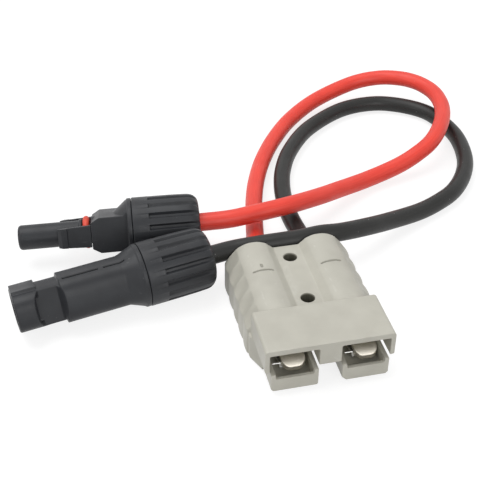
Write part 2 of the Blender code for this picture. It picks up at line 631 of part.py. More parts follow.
def build_collet(name):
    """The slotted clamp basket that the nut closes on the cable."""
    inner = CABLE_RADIUS + 0.4
    profile = [(-9.9, inner), (-9.9, 6.5), (-12.6, 6.5), (-17.2, 5.4), (-17.6, 5.0), (-17.6, inner)]
    body = turned(name, profile, 24)
    slots = []
    for i in range(3):
        turn = Matrix.Rotation(math.pi * i / 3, 4, 'X')
        slot = block("slot", (-19.0, -9.0, -0.4), (-12.0, 9.0, 0.4))
        slot.data.transform(turn)
        slots.append(slot)
    combine(body, slots, 'DIFFERENCE')
    return finish(body, BLACK_PLASTIC, 0.55)


def build_seal(name):
    """The rubber bush that the collet squeezes round the cable."""
    inner, outer = CABLE_RADIUS + GAP, SEAL_POCKET - GAP
    profile = [(-3.6, inner), (-3.6, outer - 0.4), (-4.0, outer)]
    profile += [(-8.8, outer), (-9.2, outer - 0.4), (-9.2, inner)]
    return finish(turned(name, profile, 24), RUBBER, 0.75)


def build_connector_core(name):
    """The stripped conductor end in a solar contact's crimp barrel."""
    start, end = JACKET_START_X + GAP, 8.6
    profile = [(start, 0.0), (start, CORE_RADIUS - 0.05), (end, CORE_RADIUS - 0.05), (end, 0.0)]
    return finish(turned(name, profile, 14), COPPER, 0.4, 1.0)


def connector_frame(name, place):
    """An empty on a connector's axis at the seam, with X pointing at the mating end."""
    rear, tip, roll = Vector(place[0]), Vector(place[1]), math.radians(place[2])
    axis = (tip - rear).normalized()
    flat = Matrix((axis, Vector((0, 0, 1)).cross(axis).normalized(), (0, 0, 0))).transposed()
    flat.col[2] = axis.cross(flat.col[1])
    frame = bpy.data.objects.new(name, None)
    bpy.context.scene.collection.objects.link(frame)
    turn = flat.to_4x4() @ Matrix.Rotation(roll, 4, 'X')
    frame.matrix_world = Matrix.Translation((rear + axis * NUT_LENGTH) * MM) @ turn
    return frame


def build_solar_connectors():
    """Both solar connectors, each piece parented to its connector's frame."""
    probe = connector_frame("probe_frame", PROBE_PLACE)
    shell = connector_frame("shell_frame", SHELL_PLACE)
    probe_pieces = [build_probe_body(), build_probe_ring(), build_socket_contact()]
    probe_pieces += [build_finger("latch_finger_near", 1), build_finger("latch_finger_far", -1)]
    shell_pieces = [build_shell_body(), build_pin_contact()]
    for prefix, pieces in (("probe", probe_pieces), ("shell", shell_pieces)):
        pieces += [build_seal(prefix + "_gland_seal"), build_collet(prefix + "_gland_collet"),
                   build_nut(prefix + "_gland_nut"), build_connector_core(prefix + "_core_end")]
    for frame, pieces in ((probe, probe_pieces), (shell, shell_pieces)):
        for piece in pieces:
            piece.parent = frame
    return probe, shell


# Cables


def smooth_path(points, step):
    """Even points along a smooth curve through the given ones."""
    ends = [2 * points[0] - points[1]] + points + [2 * points[-1] - points[-2]]
    fine = []
    for a, b, c, d in zip(ends, ends[1:], ends[2:], ends[3:]):
        for i in range(24):
            t = i / 24
            slope_in, slope_out = (c - a) / 2, (d - b) / 2
            fine.append(b * (2 * t ** 3 - 3 * t ** 2 + 1) + slope_in * (t ** 3 - 2 * t ** 2 + t)
                        + c * (3 * t ** 2 - 2 * t ** 3) + slope_out * (t ** 3 - t ** 2))
    fine.append(points[-1])
    run = [0.0]
    for one, two in zip(fine, fine[1:]):
        run.append(run[-1] + (two - one).length)
    count = round(run[-1] / step)
    path, k = [], 0
    for i in range(count + 1):
        target = run[-1] * i / count
        while k < len(run) - 2 and run[k + 1] < target:
            k += 1
        share = (target - run[k]) / (run[k + 1] - run[k])
        path.append(fine[k].lerp(fine[k + 1], share))
    return path


def cable_path(place, route, pole):
    """A cable's centre line from inside its solar connector to inside the housing's barrel."""
    rear, tip = Vector(place[0]), Vector(place[1])
    axis = (tip - rear).normalized()
    start = [rear + axis * (NUT_LENGTH + x) for x in (JACKET_START_X, -12.0, -NUT_LENGTH)]
    end = Vector((pole, JACKET_START_Y, MID_HEIGHT))
    return smooth_path(start + [Vector(point) for point in route] + [end], CABLE_STEP)


def build_cable(name, path, colour):
    """A cable's jacket as a round tube along its path."""
    curve = bpy.data.curves.new(name, 'CURVE')
    curve.dimensions = '3D'
    curve.bevel_depth = CABLE_RADIUS * MM
    curve.bevel_resolution = 4
    curve.use_fill_caps = True
    spline = curve.splines.new('POLY')
    spline.points.add(len(path) - 1)
    for place, point in zip(spline.points, path):
        place.co = (*(point * MM), 1.0)
    spline.use_smooth = True
    item = bpy.data.objects.new(name, curve)
    bpy.context.scene.collection.objects.link(item)
    material = bpy.data.materials.new(name)
    material.use_nodes = True
    shader = material.node_tree.nodes["Principled BSDF"]
    shader.inputs["Base Color"].default_value = (*colour, 1.0)
    shader.inputs["Roughness"].default_value = 0.42
    curve.materials.append(material)
    return item


def main():
    clear_scene()
    build_housing()
    for sign, pole in (("positive", -POLE_X), ("negative", POLE_X)):
        build_contact(sign + "_contact", pole)
        build_leaf(sign + "_leaf_spring", pole)
        build_housing_core(sign + "_core_end", pole)
    build_solar_connectors()
    build_cable("red_cable", cable_path(PROBE_PLACE, RED_ROUTE, -POLE_X), RED_JACKET)
    build_cable("black_cable", cable_path(SHELL_PLACE, BLACK_ROUTE, POLE_X), BLACK_JACKET)


main()
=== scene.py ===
"""Looks of an adapter lead: a grey two-pole battery connector on a red and a black cable, each of
which ends in a solar connector.

Shapes are drawn in millimetres and put into the frame in metres. A solar connector is drawn along
its own X axis, with x = 0 at the seam between its body and its gland nut and +X towards its
mating end. The battery connector is drawn in the frame itself.
"""

import logging
import math
from dataclasses import dataclass, field
from enum import Enum
from functools import cache, partial
from typing import Callable, ClassVar, Sequence

import bmesh
import bpy
from mathutils import Matrix, Vector


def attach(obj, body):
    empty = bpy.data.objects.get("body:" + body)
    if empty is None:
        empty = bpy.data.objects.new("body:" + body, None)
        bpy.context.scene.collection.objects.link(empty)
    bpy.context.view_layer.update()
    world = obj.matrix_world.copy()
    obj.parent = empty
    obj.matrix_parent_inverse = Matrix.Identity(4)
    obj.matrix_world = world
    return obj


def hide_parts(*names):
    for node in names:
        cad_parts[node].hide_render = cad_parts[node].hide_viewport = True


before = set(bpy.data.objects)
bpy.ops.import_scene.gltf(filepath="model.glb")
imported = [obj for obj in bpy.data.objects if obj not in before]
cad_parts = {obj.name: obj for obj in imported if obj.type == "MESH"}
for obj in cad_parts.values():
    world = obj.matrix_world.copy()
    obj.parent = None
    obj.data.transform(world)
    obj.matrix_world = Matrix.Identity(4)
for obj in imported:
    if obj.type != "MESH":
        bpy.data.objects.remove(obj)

LOG = logging.getLogger("adapter_lead")
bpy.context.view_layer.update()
MM = 0.001
SHARP_ANGLE = math.radians(40.0)

Point = tuple[float, float, float]
Flat = tuple[float, float]
Colour = tuple[float, float, float]
Profile = Sequence[Flat]
Item = bpy.types.Object
Node = bpy.types.Node
Socket = bpy.types.NodeSocket
Tree = bpy.types.NodeTree


class Pole(Enum):
    """The battery connector's poles, by the X of each barrel's axis."""

    POSITIVE = -10.35
    NEGATIVE = 10.35

    @property
    def word(self) -> str:
        """The pole's name as its pieces carry it."""
        return self.name.lower()


class Cut(Enum):
    """How one body is combined with another."""

    JOIN = 'UNION'
    REMOVE = 'DIFFERENCE'
    COMMON = 'INTERSECT'


class Slot(Enum):
    """Names of the finishes' materials."""

    GREY_PLASTIC = "grey_plastic"
    BLACK_PLASTIC = "black_plastic"
    SILVER_PLATE = "silver_plate"
    TIN_PLATE = "tin_plate"
    SPRING_STEEL = "spring_steel"
    COPPER_STRAND = "copper_strand"
    RED_JACKET = "red_jacket"
    BLACK_JACKET = "black_jacket"
    BLACK_RUBBER = "black_rubber"
    RED_RUBBER = "red_rubber"


# Mesh tools


def new_object(name: str, data: bpy.types.ID) -> Item:
    """Link a new object.

    Args:
        name: The object's name.
        data: Its mesh, camera or lamp.

    Returns:
        The linked object.
    """
    item = bpy.data.objects.new(name, data)
    bpy.context.scene.collection.objects.link(item)
    return item


def from_bmesh(bm: bmesh.types.BMesh, name: str) -> Item:
    """Turn a bmesh into an object whose faces point outwards.

    Args:
        bm: The drawn mesh, which is freed.
        name: The object's name.

    Returns:
        The linked object.
    """
    bmesh.ops.recalc_face_normals(bm, faces=bm.faces[:])
    mesh = bpy.data.meshes.new(name)
    bm.to_mesh(mesh)
    bm.free()
    return new_object(name, mesh)


def block(name: str, low: Point, high: Point) -> Item:
    """A box between two corners.

    Args:
        name: The object's name.
        low: The lowest corner.
        high: The highest corner.

    Returns:
        The box.
    """
    bm = bmesh.new()
    bmesh.ops.create_cube(bm, size=1.0)
    bmesh.ops.scale(bm, vec=Vector(high) - Vector(low), verts=bm.verts[:])
    bmesh.ops.translate(bm, vec=(Vector(low) + Vector(high)) / 2, verts=bm.verts[:])
    return from_bmesh(bm, name)


def prism(name: str, outline: Sequence[Point], depth: Point, end_round: float = 0.0) -> Item:
    """Extrude a closed outline.

    Args:
        name: The object's name.
        outline: The outline's corners in order.
        depth: The vector of the extrusion.
        end_round: The radius given to the far end's edges.

    Returns:
        The solid.
    """
    bm = bmesh.new()
    face = bm.faces.new([bm.verts.new(point) for point in outline])
    grown = bmesh.ops.extrude_face_region(bm, geom=[face])["geom"]
    bmesh.ops.translate(bm, vec=depth, verts=[g for g in grown if isinstance(g, bmesh.types.BMVert)])
    if end_round:
        far = next(g for g in grown if isinstance(g, bmesh.types.BMFace))
        bmesh.ops.bevel(bm, geom=far.edges[:], offset=end_round, segments=3, affect='EDGES')
    return from_bmesh(bm, name)


def turned(name: str, profile: Profile, sides: int) -> Item:
    """Spin a profile about X.

    Args:
        name: The object's name.
        profile: Points (x, radius), which start and end on the axis or else close on themselves.
        sides: Steps of the spin.

    Returns:
        The turned solid.
    """
    bm = bmesh.new()
    corners = [bm.verts.new((x, radius, 0.0)) for x, radius in profile]
    open_ended = profile[0][1] == 0.0
    following = corners[1:] if open_ended else corners[1:] + corners[:1]
    edges = [bm.edges.new(pair) for pair in zip(corners, following)]
    bmesh.ops.spin(bm, geom=corners + edges, cent=(0, 0, 0), axis=(1, 0, 0),
                   angle=2 * math.pi, steps=sides, use_merge=True)
    bmesh.ops.remove_doubles(bm, verts=bm.verts[:], dist=1e-4)
    return from_bmesh(bm, name)


def ring(x: float, sides: int, reach: Callable[[float], float]) -> list[Point]:
    """Points round the X axis.

    Args:
        x: Where the ring stands along the axis.
        sides: How many points it has.
        reach: The radius at an angle.

    Returns:
        The ring's points.
    """
    angles = [2 * math.pi * i / sides for i in range(sides)]
    return [(x, reach(a) * math.cos(a), reach(a) * math.sin(a)) for a in angles]


def skinned(name: str, sections: Sequence[Sequence[Point]], looped: bool) -> Item:
    """Skin a row of sections.

    Args:
        name: The object's name.
        sections: Sections of equally many points, in order.
        looped: Whether the last is joined to the first. If not, both ends are closed.

    Returns:
        The skinned solid.
    """
    bm = bmesh.new()
    loops = [[bm.verts.new(point) for point in section] for section in sections]
    for one, two in zip(loops, loops[1:] + loops[:1] if looped else loops[1:]):
        for i, corner in enumerate(one):
            j = (i + 1) % len(one)
            bm.faces.new((corner, one[j], two[j], two[i]))
    if not looped:
        bm.faces.new(loops[0])
        bm.faces.new(loops[-1])
    return from_bmesh(bm, name)


def rod(name: str, start: float, end: float, radius: float, sides: int) -> Item:
    """A plain rod along X between two places."""
    return turned(name, [(start, 0.0), (start, radius), (end, radius), (end, 0.0)], sides)


def mirrored(right: list[Flat]) -> list[Flat]:
    """A closed outline from its right half."""
    return right + [(-x, z) for x, z in reversed(right)]


def arc(centre: Flat, radius: float, start: float, end: float, count: int) -> list[Flat]:
    """Points on a circle.

    Args:
        centre: The circle's centre in the drawing plane.
        radius: Its radius.
        start: The first angle in degrees.
        end: The last angle in degrees.
        count: Steps between them.

    Returns:
        Points (across, up).
    """
    angles = [math.radians(start + (end - start) * i / count) for i in range(count + 1)]
    return [(centre[0] + radius * math.cos(a), centre[1] + radius * math.sin(a)) for a in angles]


def baked(item: Item) -> bpy.types.Mesh:
    """The item's mesh with its modifiers applied."""
    graph = bpy.context.evaluated_depsgraph_get()
    return bpy.data.meshes.new_from_object(item.evaluated_get(graph))


def combine(target: Item, others: Sequence[Item], how: Cut) -> Item:
    """Join, cut or intersect a body with others, which are used up.

    Args:
        target: The body that is kept.
        others: The bodies that work on it.
        how: What they do.

    Returns:
        The target.
    """
    for other in others:
        modifier = target.modifiers.new(how.name, 'BOOLEAN')
        modifier.operation = how.value
        modifier.solver = 'EXACT'
        modifier.object = other
        target.data = baked(target)
        target.modifiers.clear()
        bpy.data.objects.remove(other, do_unlink=True)
    return target


@dataclass(frozen=True)
class Skin:
    """How finely a moulded body is skinned.

    Attributes:
        voxel: The size of the cells that it is skinned from.
        rounds: How often the skin is relaxed.
        triangles: How many triangles it keeps at most.
    """

    voxel: float
    rounds: int
    triangles: int


def soften(item: Item, skin: Skin) -> Item:
    """Give every edge of a body the small radius of a moulded part.

    Args:
        item: The sharp body.
        skin: How finely it is skinned again.

    Returns:
        The softened body.
    """
    remesh = item.modifiers.new("Skin", 'REMESH')
    remesh.mode = 'VOXEL'
    remesh.voxel_size = skin.voxel * 1.0
    relax = item.modifiers.new("Relax", 'SMOOTH')
    relax.factor = 0.5
    relax.iterations = skin.rounds
    item.data = baked(item)
    item.modifiers.clear()
    count = 2 * len(item.data.polygons)
    if count > skin.triangles:
        thin = item.modifiers.new("Thin", 'DECIMATE')
        thin.ratio = skin.triangles / count
        item.data = baked(item)
        item.modifiers.clear()
    return item


def dress(item: Item, place: Matrix, finish: "Finish", body: str, node: str) -> Item:
    """Put a finished piece into the frame in place of its plain solid.

    Args:
        item: The piece as drawn.
        place: The matrix from its drawing to the frame in metres.
        finish: What its surface is.
        body: The body it rides on.
        node: The solid it stands for.

    Returns:
        The piece.
    """
    item.data.transform(place)
    item.data.shade_smooth()
    item.data.set_sharp_from_angle(angle=SHARP_ANGLE)
    item.data.materials.clear()
    item.data.materials.append(finish.material())
    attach(item, body)
    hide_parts(node)
    LOG.info("%s: %d faces, rides on %s", item.name, len(item.data.polygons), body)
    return item


def smoothed_copy(name: str, node: str) -> Item:
    """A copy of a plain solid with its corners merged, for smooth shading.

    Args:
        name: The copy's name.
        node: The solid that is copied.

    Returns:
        The copy, already in metres.
    """
    bm = bmesh.new()
    bm.from_mesh(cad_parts[node].data)
    bmesh.ops.remove_doubles(bm, verts=bm.verts[:], dist=1e-6)
    return from_bmesh(bm, name)


# Node tools


class Wiring:
    """Adds nodes to one tree and joins their sockets."""

    MIX_COLOURS = (6, 7)
    MIX_RESULT = 2

    def __init__(self, tree: Tree) -> None:
        """Work on the given tree."""
        self.tree = tree

    def add(self, kind: str, inputs: dict | None = None, **settings: object) -> Node:
        """Add a node.

        Args:
            kind: The node's type.
            inputs: Values or sockets by the name or number of the input that they feed.
            settings: The node's own properties.

        Returns:
            The node.
        """
        node = self.tree.nodes.new(kind)
        for name, value in settings.items():
            setattr(node, name, value)
        for key, value in (inputs or {}).items():
            if isinstance(value, Socket):
                self.tree.links.new(value, node.inputs[key])
            else:
                node.inputs[key].default_value = value
        return node

    def link(self, source: Socket, node: Node, name: str) -> None:
        """Join a socket to a node's named input."""
        self.tree.links.new(source, node.inputs[name])

    def calc(self, operation: str, *values: object) -> Socket:
        """The result of a Math node on values or sockets."""
        return self.add('ShaderNodeMath', dict(enumerate(values)), operation=operation).outputs[0]

    def remap(self, value: Socket, source: tuple, target: tuple, soft: bool = False) -> Socket:
        """Map a range of values to another.

        Args:
            value: The socket to map.
            source: The lowest and highest value that come in.
            target: What they become.
            soft: Whether the steps at both ends are eased.

        Returns:
            The mapped socket.
        """
        inputs = {0: value, 1: source[0], 2: source[1], 3: target[0], 4: target[1]}
        kind = 'SMOOTHSTEP' if soft else 'LINEAR'
        return self.add('ShaderNodeMapRange', inputs, interpolation_type=kind).outputs[0]

    def blend(self, share: object, first: object, second: object) -> Socket:
        """A colour between two.

        Args:
            share: How much of the second colour there is, as a value or a socket.
            first: The first colour, as a tuple or a socket.
            second: The second.

        Returns:
            The mixed colour.
        """
        sources = [(*c, 1.0) if isinstance(c, tuple) else c for c in (first, second)]
        inputs = {0: share, self.MIX_COLOURS[0]: sources[0], self.MIX_COLOURS[1]: sources[1]}
        return self.add('ShaderNodeMix', inputs, data_type='RGBA').outputs[self.MIX_RESULT]

    def noise(self, vector: Socket, scale: object, detail: float) -> Socket:
        """The value of a noise texture read at a vector."""
        return self.add('ShaderNodeTexNoise', {"Vector": vector, "Scale": scale, "Detail": detail}).outputs[0]


def start_group(name: str, inputs: dict[str, float], outputs: Sequence[str]) -> tuple[Wiring, Node, Node]:
    """An empty shader group with its sockets.

    Args:
        name: The group's name.
        inputs: Its inputs and their usual values.
        outputs: Its outputs.

    Returns:
        The wiring, the input node and the output node.
    """
    tree = bpy.data.node_groups.new(name, 'ShaderNodeTree')
    for label, value in inputs.items():
        socket = tree.interface.new_socket(label, in_out='INPUT', socket_type='NodeSocketFloat')
        socket.default_value = value
    for label in outputs:
        tree.interface.new_socket(label, in_out='OUTPUT', socket_type='NodeSocketFloat')
    wiring = Wiring(tree)
    return wiring, wiring.add('NodeGroupInput'), wiring.add('NodeGroupOutput')


@cache
def moulded_grain() -> Tree:
    """Fine grain of a mould's surface, and the slow unevenness of its tone.

    Returns:
        The group, with the outputs Grain and Mottle.
    """
    scales = {"Grain Scale": 4000.0, "Mottle Scale": 160.0}
    wiring, source, result = start_group("moulded_grain", scales, ("Grain", "Mottle"))
    place = wiring.add('ShaderNodeTexCoord').outputs["Object"]
    wiring.link(wiring.noise(place, source.outputs["Grain Scale"], 3.0), result, "Grain")
    mottle = wiring.noise(place, source.outputs["Mottle Scale"], 3.0)
    wiring.link(wiring.remap(mottle, (0.3, 0.7), (0.0, 1.0)), result, "Mottle")
    return wiring.tree


@cache
def light_scuffs() -> Tree:
    """Short pale rub marks in loose patches.

    Returns:
        The group, with the output Scuffs.
    """
    scales = {"Scuff Scale": 900.0, "Patch Scale": 90.0}
    wiring, source, result = start_group("light_scuffs", scales, ("Scuffs",))
    place = wiring.add('ShaderNodeTexCoord').outputs["Object"]
    stretch = {"Vector": place, "Rotation": (0.5, 0.3, 0.4), "Scale": (0.16, 1.0, 1.0)}
    stretched = wiring.add('ShaderNodeMapping', stretch).outputs[0]
    lines = wiring.noise(stretched, source.outputs["Scuff Scale"], 4.0)
    patches = wiring.noise(place, source.outputs["Patch Scale"], 2.0)
    marks = wiring.remap(lines, (0.62, 0.74), (0.0, 1.0))
    near = wiring.remap(patches, (0.5, 0.68), (0.0, 1.0), True)
    wiring.link(wiring.calc('MULTIPLY', marks, near), result, "Scuffs")
    return wiring.tree


@cache
def dust_specks() -> Tree:
    """Scattered specks of pale dust.

    Returns:
        The group, with the output Specks.
    """
    wiring, source, result = start_group("dust_specks", {"Speck Scale": 700.0, "Coverage": 0.1}, ("Specks",))
    place = wiring.add('ShaderNodeTexCoord').outputs["Object"]
    cells = wiring.add('ShaderNodeTexVoronoi', {"Vector": place, "Scale": source.outputs["Speck Scale"]})
    dots = wiring.remap(cells.outputs["Distance"], (0.10, 0.22), (1.0, 0.0), True)
    pick = wiring.add('ShaderNodeSeparateColor', {0: cells.outputs["Color"]}).outputs[0]
    kept = wiring.calc('LESS_THAN', pick, source.outputs["Coverage"])
    wiring.link(wiring.calc('MULTIPLY', dots, kept), result, "Specks")
    return wiring.tree


@cache
def edge_wear() -> Tree:
    """Edges that handling has polished paler, broken up unevenly.

    Returns:
        The group, with the output Wear.
    """
    wiring, source, result = start_group("edge_wear", {"Sharpness": 0.55, "Breakup Scale": 400.0}, ("Wear",))
    place = wiring.add('ShaderNodeTexCoord').outputs["Object"]
    pointed = wiring.add('ShaderNodeNewGeometry').outputs["Pointiness"]
    over = wiring.calc('SUBTRACT', pointed, source.outputs["Sharpness"])
    edges = wiring.remap(over, (0.0, 0.05), (0.0, 1.0), True)
    patches = wiring.noise(place, source.outputs["Breakup Scale"], 3.0)
    breakup = wiring.remap(patches, (0.35, 0.65), (0.2, 1.0))
    wiring.link(wiring.calc('MULTIPLY', edges, breakup), result, "Wear")
    return wiring.tree


# Finishes


@dataclass(frozen=True)
class Finish:
    """What a surface is made of.

    Attributes:
        slot: The name under which its material is made.
        colour: The main colour, linear.
        roughness: The middle roughness.
        gloss: How strongly its surface mirrors.
    """

    slot: Slot
    colour: Colour
    roughness: float
    gloss: float = 0.5

    def material(self) -> bpy.types.Material:
        """The finish's material, made once.

        Returns:
            The material.
        """
        made = bpy.data.materials.get("finish_" + self.slot.value)
        if made is None:
            made = bpy.data.materials.new("finish_" + self.slot.value)
            made.use_nodes = True
            shader = made.node_tree.nodes["Principled BSDF"]
            shader.inputs["Specular IOR Level"].default_value = self.gloss
            self.wire(Wiring(made.node_tree), shader)
        return made

    def wire(self, wiring: Wiring, shader: Node) -> None:
        """Feed the shader."""
        raise NotImplementedError

    @staticmethod
    def effect(wiring: Wiring, group: Tree, **values: float) -> Node:
        """Place a shared effect with its own values, named with underscores for spaces."""
        inputs = {label.replace("_", " "): value for label, value in values.items()}
        return wiring.add('ShaderNodeGroup', inputs, node_tree=group)

    @staticmethod
    def bump(wiring: Wiring, shader: Node, height: object, strength: float, depth: float) -> None:
        """Feed the shader's normal from a height.

        Args:
            wiring: The material's wiring.
            shader: Its shader.
            height: The socket that gives the height.
            strength: How much of it shows.
            depth: The height's range in metres.
        """
        node = wiring.add('ShaderNodeBump', {"Height": height, "Strength": strength, "Distance": depth})
        wiring.link(node.outputs[0], shader, "Normal")


@dataclass(frozen=True)
class MouldedPlastic(Finish):
    """Moulded plastic with a fine grain, paler edges, rub marks and specks, and painted shade in its holes
    and engraved marks.

    Attributes:
        shade: The tone of its darker patches.
        worn: The tone of its edges and rub marks.
        hollow: The colour of the painted shade in its holes and engraved marks.
        wear: How much the edges show.
        scuffs: How much the rub marks show.
        coverage: The share of cells that hold a speck.
    """

    # Name of the point attribute that holds each point's share of painted shade.
    PAINTED_SHADE: ClassVar[str] = "painted_shade_share"

    shade: Colour = (0.0, 0.0, 0.0)
    worn: Colour = (1.0, 1.0, 1.0)
    hollow: Colour = (0.0, 0.0, 0.0)
    wear: float = 0.3
    scuffs: float = 0.3
    coverage: float = 0.05

    def wire(self, wiring: Wiring, shader: Node) -> None:
        """Feed the shader from the grain, the wear, the rub marks and the painted shade in its hollows.

        Args:
            wiring: The material's wiring.
            shader: Its shader.
        """
        grain = self.effect(wiring, moulded_grain(), Grain_Scale=5200.0, Mottle_Scale=140.0)
        wear = self.effect(wiring, edge_wear(), Sharpness=0.53, Breakup_Scale=500.0)
        scuffs = self.effect(wiring, light_scuffs(), Scuff_Scale=1100.0, Patch_Scale=110.0)
        specks = self.effect(wiring, dust_specks(), Speck_Scale=900.0, Coverage=self.coverage)
        tone = wiring.blend(grain.outputs["Mottle"], self.shade, self.colour)
        rubbed = wiring.calc('MULTIPLY', scuffs.outputs["Scuffs"], self.scuffs)
        edged = wiring.calc('MULTIPLY', wear.outputs["Wear"], self.wear)
        dusted = wiring.calc('MULTIPLY', specks.outputs["Specks"], self.scuffs)
        marks = wiring.calc('MAXIMUM', wiring.calc('MAXIMUM', rubbed, edged), dusted)
        # Painted shade: the stored share darkens holes and engraved marks towards the hollow colour, where
        # shade falls.
        deep = wiring.add('ShaderNodeAttribute', attribute_name=self.PAINTED_SHADE).outputs["Fac"]
        surface = wiring.blend(deep, wiring.blend(marks, tone, self.worn), self.hollow)
        wiring.link(surface, shader, "Base Color")
        limits = (self.roughness + 0.05, self.roughness - 0.04)
        spread = wiring.remap(grain.outputs["Mottle"], (0.0, 1.0), limits)
        wiring.link(wiring.calc('ADD', spread, wiring.calc('MULTIPLY', rubbed, 0.3)), shader, "Roughness")
        self.bump(wiring, shader, grain.outputs["Grain"], 0.22, 0.00006)


@dataclass(frozen=True)
class PlatedMetal(Finish):
    """Plated or rolled metal with fine streaks and dull patches.

    Attributes:
        dull: The tone of its dull patches.
        streak_scale: The pattern's stretch along X, Y and Z.
    """

    dull: Colour = (0.5, 0.5, 0.5)
    streak_scale: Point = (1.0, 0.15, 1.0)

    def wire(self, wiring: Wiring, shader: Node) -> None:
        """Feed the shader from streaks and dull patches.

        Args:
            wiring: The material's wiring.
            shader: Its shader.
        """
        shader.inputs["Metallic"].default_value = 1.0
        place = wiring.add('ShaderNodeTexCoord').outputs["Object"]
        drawn = wiring.add('ShaderNodeMapping', {"Vector": place, "Scale": self.streak_scale}).outputs[0]
        streaks = wiring.noise(drawn, 2600.0, 3.0)
        grain = self.effect(wiring, moulded_grain(), Grain_Scale=3000.0, Mottle_Scale=420.0)
        share = wiring.calc('MULTIPLY', grain.outputs["Mottle"], 0.4)
        wiring.link(wiring.blend(share, self.colour, self.dull), shader, "Base Color")
        low, high = self.roughness - 0.07, self.roughness + 0.12
        wiring.link(wiring.remap(streaks, (0.3, 0.7), (low, high)), shader, "Roughness")
        self.bump(wiring, shader, streaks, 0.1, 0.00004)


@dataclass(frozen=True)
class CableJacket(Finish):
    """A cable's jacket, drawn smooth along its run, with specks of dust.

    Attributes:
        shade: The tone of its darker streaks.
        dust: The tone of its specks.
        coverage: The share of cells that hold a speck.
    """

    shade: Colour = (0.0, 0.0, 0.0)
    dust: Colour = (0.5, 0.5, 0.5)
    coverage: float = 0.04

    def wire(self, wiring: Wiring, shader: Node) -> None:
        """Feed the shader from streaks along the run, slow mottling and specks.

        Args:
            wiring: The material's wiring.
            shader: Its shader.
        """
        lay = wiring.add('ShaderNodeAttribute', attribute_name=CableRun.LAY).outputs["Vector"]
        along = wiring.add('ShaderNodeMapping', {"Vector": lay, "Scale": (18.0, 1.0, 1.0)}).outputs[0]
        streaks = wiring.noise(along, 7.0, 4.0)
        slow = wiring.add('ShaderNodeMapping', {"Vector": lay, "Scale": (90.0, 1.0, 1.0)}).outputs[0]
        mottle = wiring.noise(slow, 1.3, 2.0)
        mixed = wiring.calc('ADD', wiring.calc('MULTIPLY', streaks, 0.6),
                            wiring.calc('MULTIPLY', mottle, 0.4))
        tone = wiring.blend(wiring.remap(mixed, (0.38, 0.62), (0.0, 1.0)), self.shade, self.colour)
        specks = self.effect(wiring, dust_specks(), Speck_Scale=1000.0, Coverage=self.coverage)
        dusted = wiring.calc('MULTIPLY', specks.outputs["Specks"], 0.6)
        wiring.link(wiring.blend(dusted, tone, self.dust), shader, "Base Color")
        grain = self.effect(wiring, moulded_grain(), Grain_Scale=3600.0, Mottle_Scale=200.0)
        limits = (self.roughness + 0.06, self.roughness - 0.05)
        spread = wiring.remap(grain.outputs["Mottle"], (0.0, 1.0), limits)
        wiring.link(spread, shader, "Roughness")
        height = wiring.calc('ADD', streaks, wiring.calc('MULTIPLY', grain.outputs["Grain"], 0.4))
        self.bump(wiring, shader, height, 0.12, 0.0001)


@dataclass(frozen=True)
class SoftRubber(Finish):
    """Soft sealing rubber with a bloom of dust.

    Attributes:
        bloom: The tone of its pale bloom.
    """

    bloom: Colour = (0.1, 0.1, 0.1)

    def wire(self, wiring: Wiring, shader: Node) -> None:
        """Feed the shader from the grain and the bloom.

        Args:
            wiring: The material's wiring.
            shader: Its shader.
        """
        grain = self.effect(wiring, moulded_grain(), Grain_Scale=4200.0, Mottle_Scale=700.0)
        share = wiring.calc('MULTIPLY', grain.outputs["Mottle"], 0.45)
        wiring.link(wiring.blend(share, self.colour, self.bloom), shader, "Base Color")
        limits = (self.roughness - 0.06, self.roughness + 0.08)
        spread = wiring.remap(grain.outputs["Mottle"], (0.0, 1.0), limits)
        wiring.link(spread, shader, "Roughness")
        self.bump(wiring, shader, grain.outputs["Grain"], 0.2, 0.00008)


# The grey's hollow colour is the painted shade that the housing's screw holes and marks are darkened to.
GREY_PLASTIC = MouldedPlastic(Slot.GREY_PLASTIC, (0.555, 0.540, 0.470), 0.46, shade=(0.505, 0.490, 0.425),
                              worn=(0.64, 0.63, 0.57), hollow=(0.13, 0.125, 0.095), wear=0.35,
                              scuffs=0.12, coverage=0.02)
BLACK_PLASTIC = MouldedPlastic(Slot.BLACK_PLASTIC, (0.030, 0.032, 0.036), 0.42, gloss=0.3,
                               shade=(0.022, 0.023, 0.026), worn=(0.11, 0.11, 0.115), wear=0.45,
                               scuffs=0.3, coverage=0.03)
SILVER_PLATE = PlatedMetal(Slot.SILVER_PLATE, (0.80, 0.76, 0.67), 0.48, dull=(0.69, 0.65, 0.57))
TIN_PLATE = PlatedMetal(Slot.TIN_PLATE, (0.74, 0.74, 0.73), 0.28, dull=(0.52, 0.52, 0.51),
                        streak_scale=(0.15, 1.0, 1.0))
SPRING_STEEL = PlatedMetal(Slot.SPRING_STEEL, (0.77, 0.77, 0.75), 0.38, dull=(0.64, 0.64, 0.62))
COPPER_STRAND = PlatedMetal(Slot.COPPER_STRAND, (0.78, 0.46, 0.30), 0.34, dull=(0.55, 0.30, 0.18))
RED_JACKET = CableJacket(Slot.RED_JACKET, (0.93, 0.070, 0.044), 0.44, shade=(0.83, 0.052, 0.033),
                         dust=(0.85, 0.30, 0.26), coverage=0.015)
BLACK_JACKET = CableJacket(Slot.BLACK_JACKET, (0.020, 0.020, 0.019), 0.42, gloss=0.32,
                           shade=(0.014, 0.014, 0.013), dust=(0.25, 0.25, 0.24), coverage=0.04)
BLACK_RUBBER = SoftRubber(Slot.BLACK_RUBBER, (0.018, 0.018, 0.018), 0.7, bloom=(0.05, 0.05, 0.05))
RED_RUBBER = SoftRubber(Slot.RED_RUBBER, (0.72, 0.055, 0.026), 0.5, bloom=(0.78, 0.12, 0.07))


# Battery connector


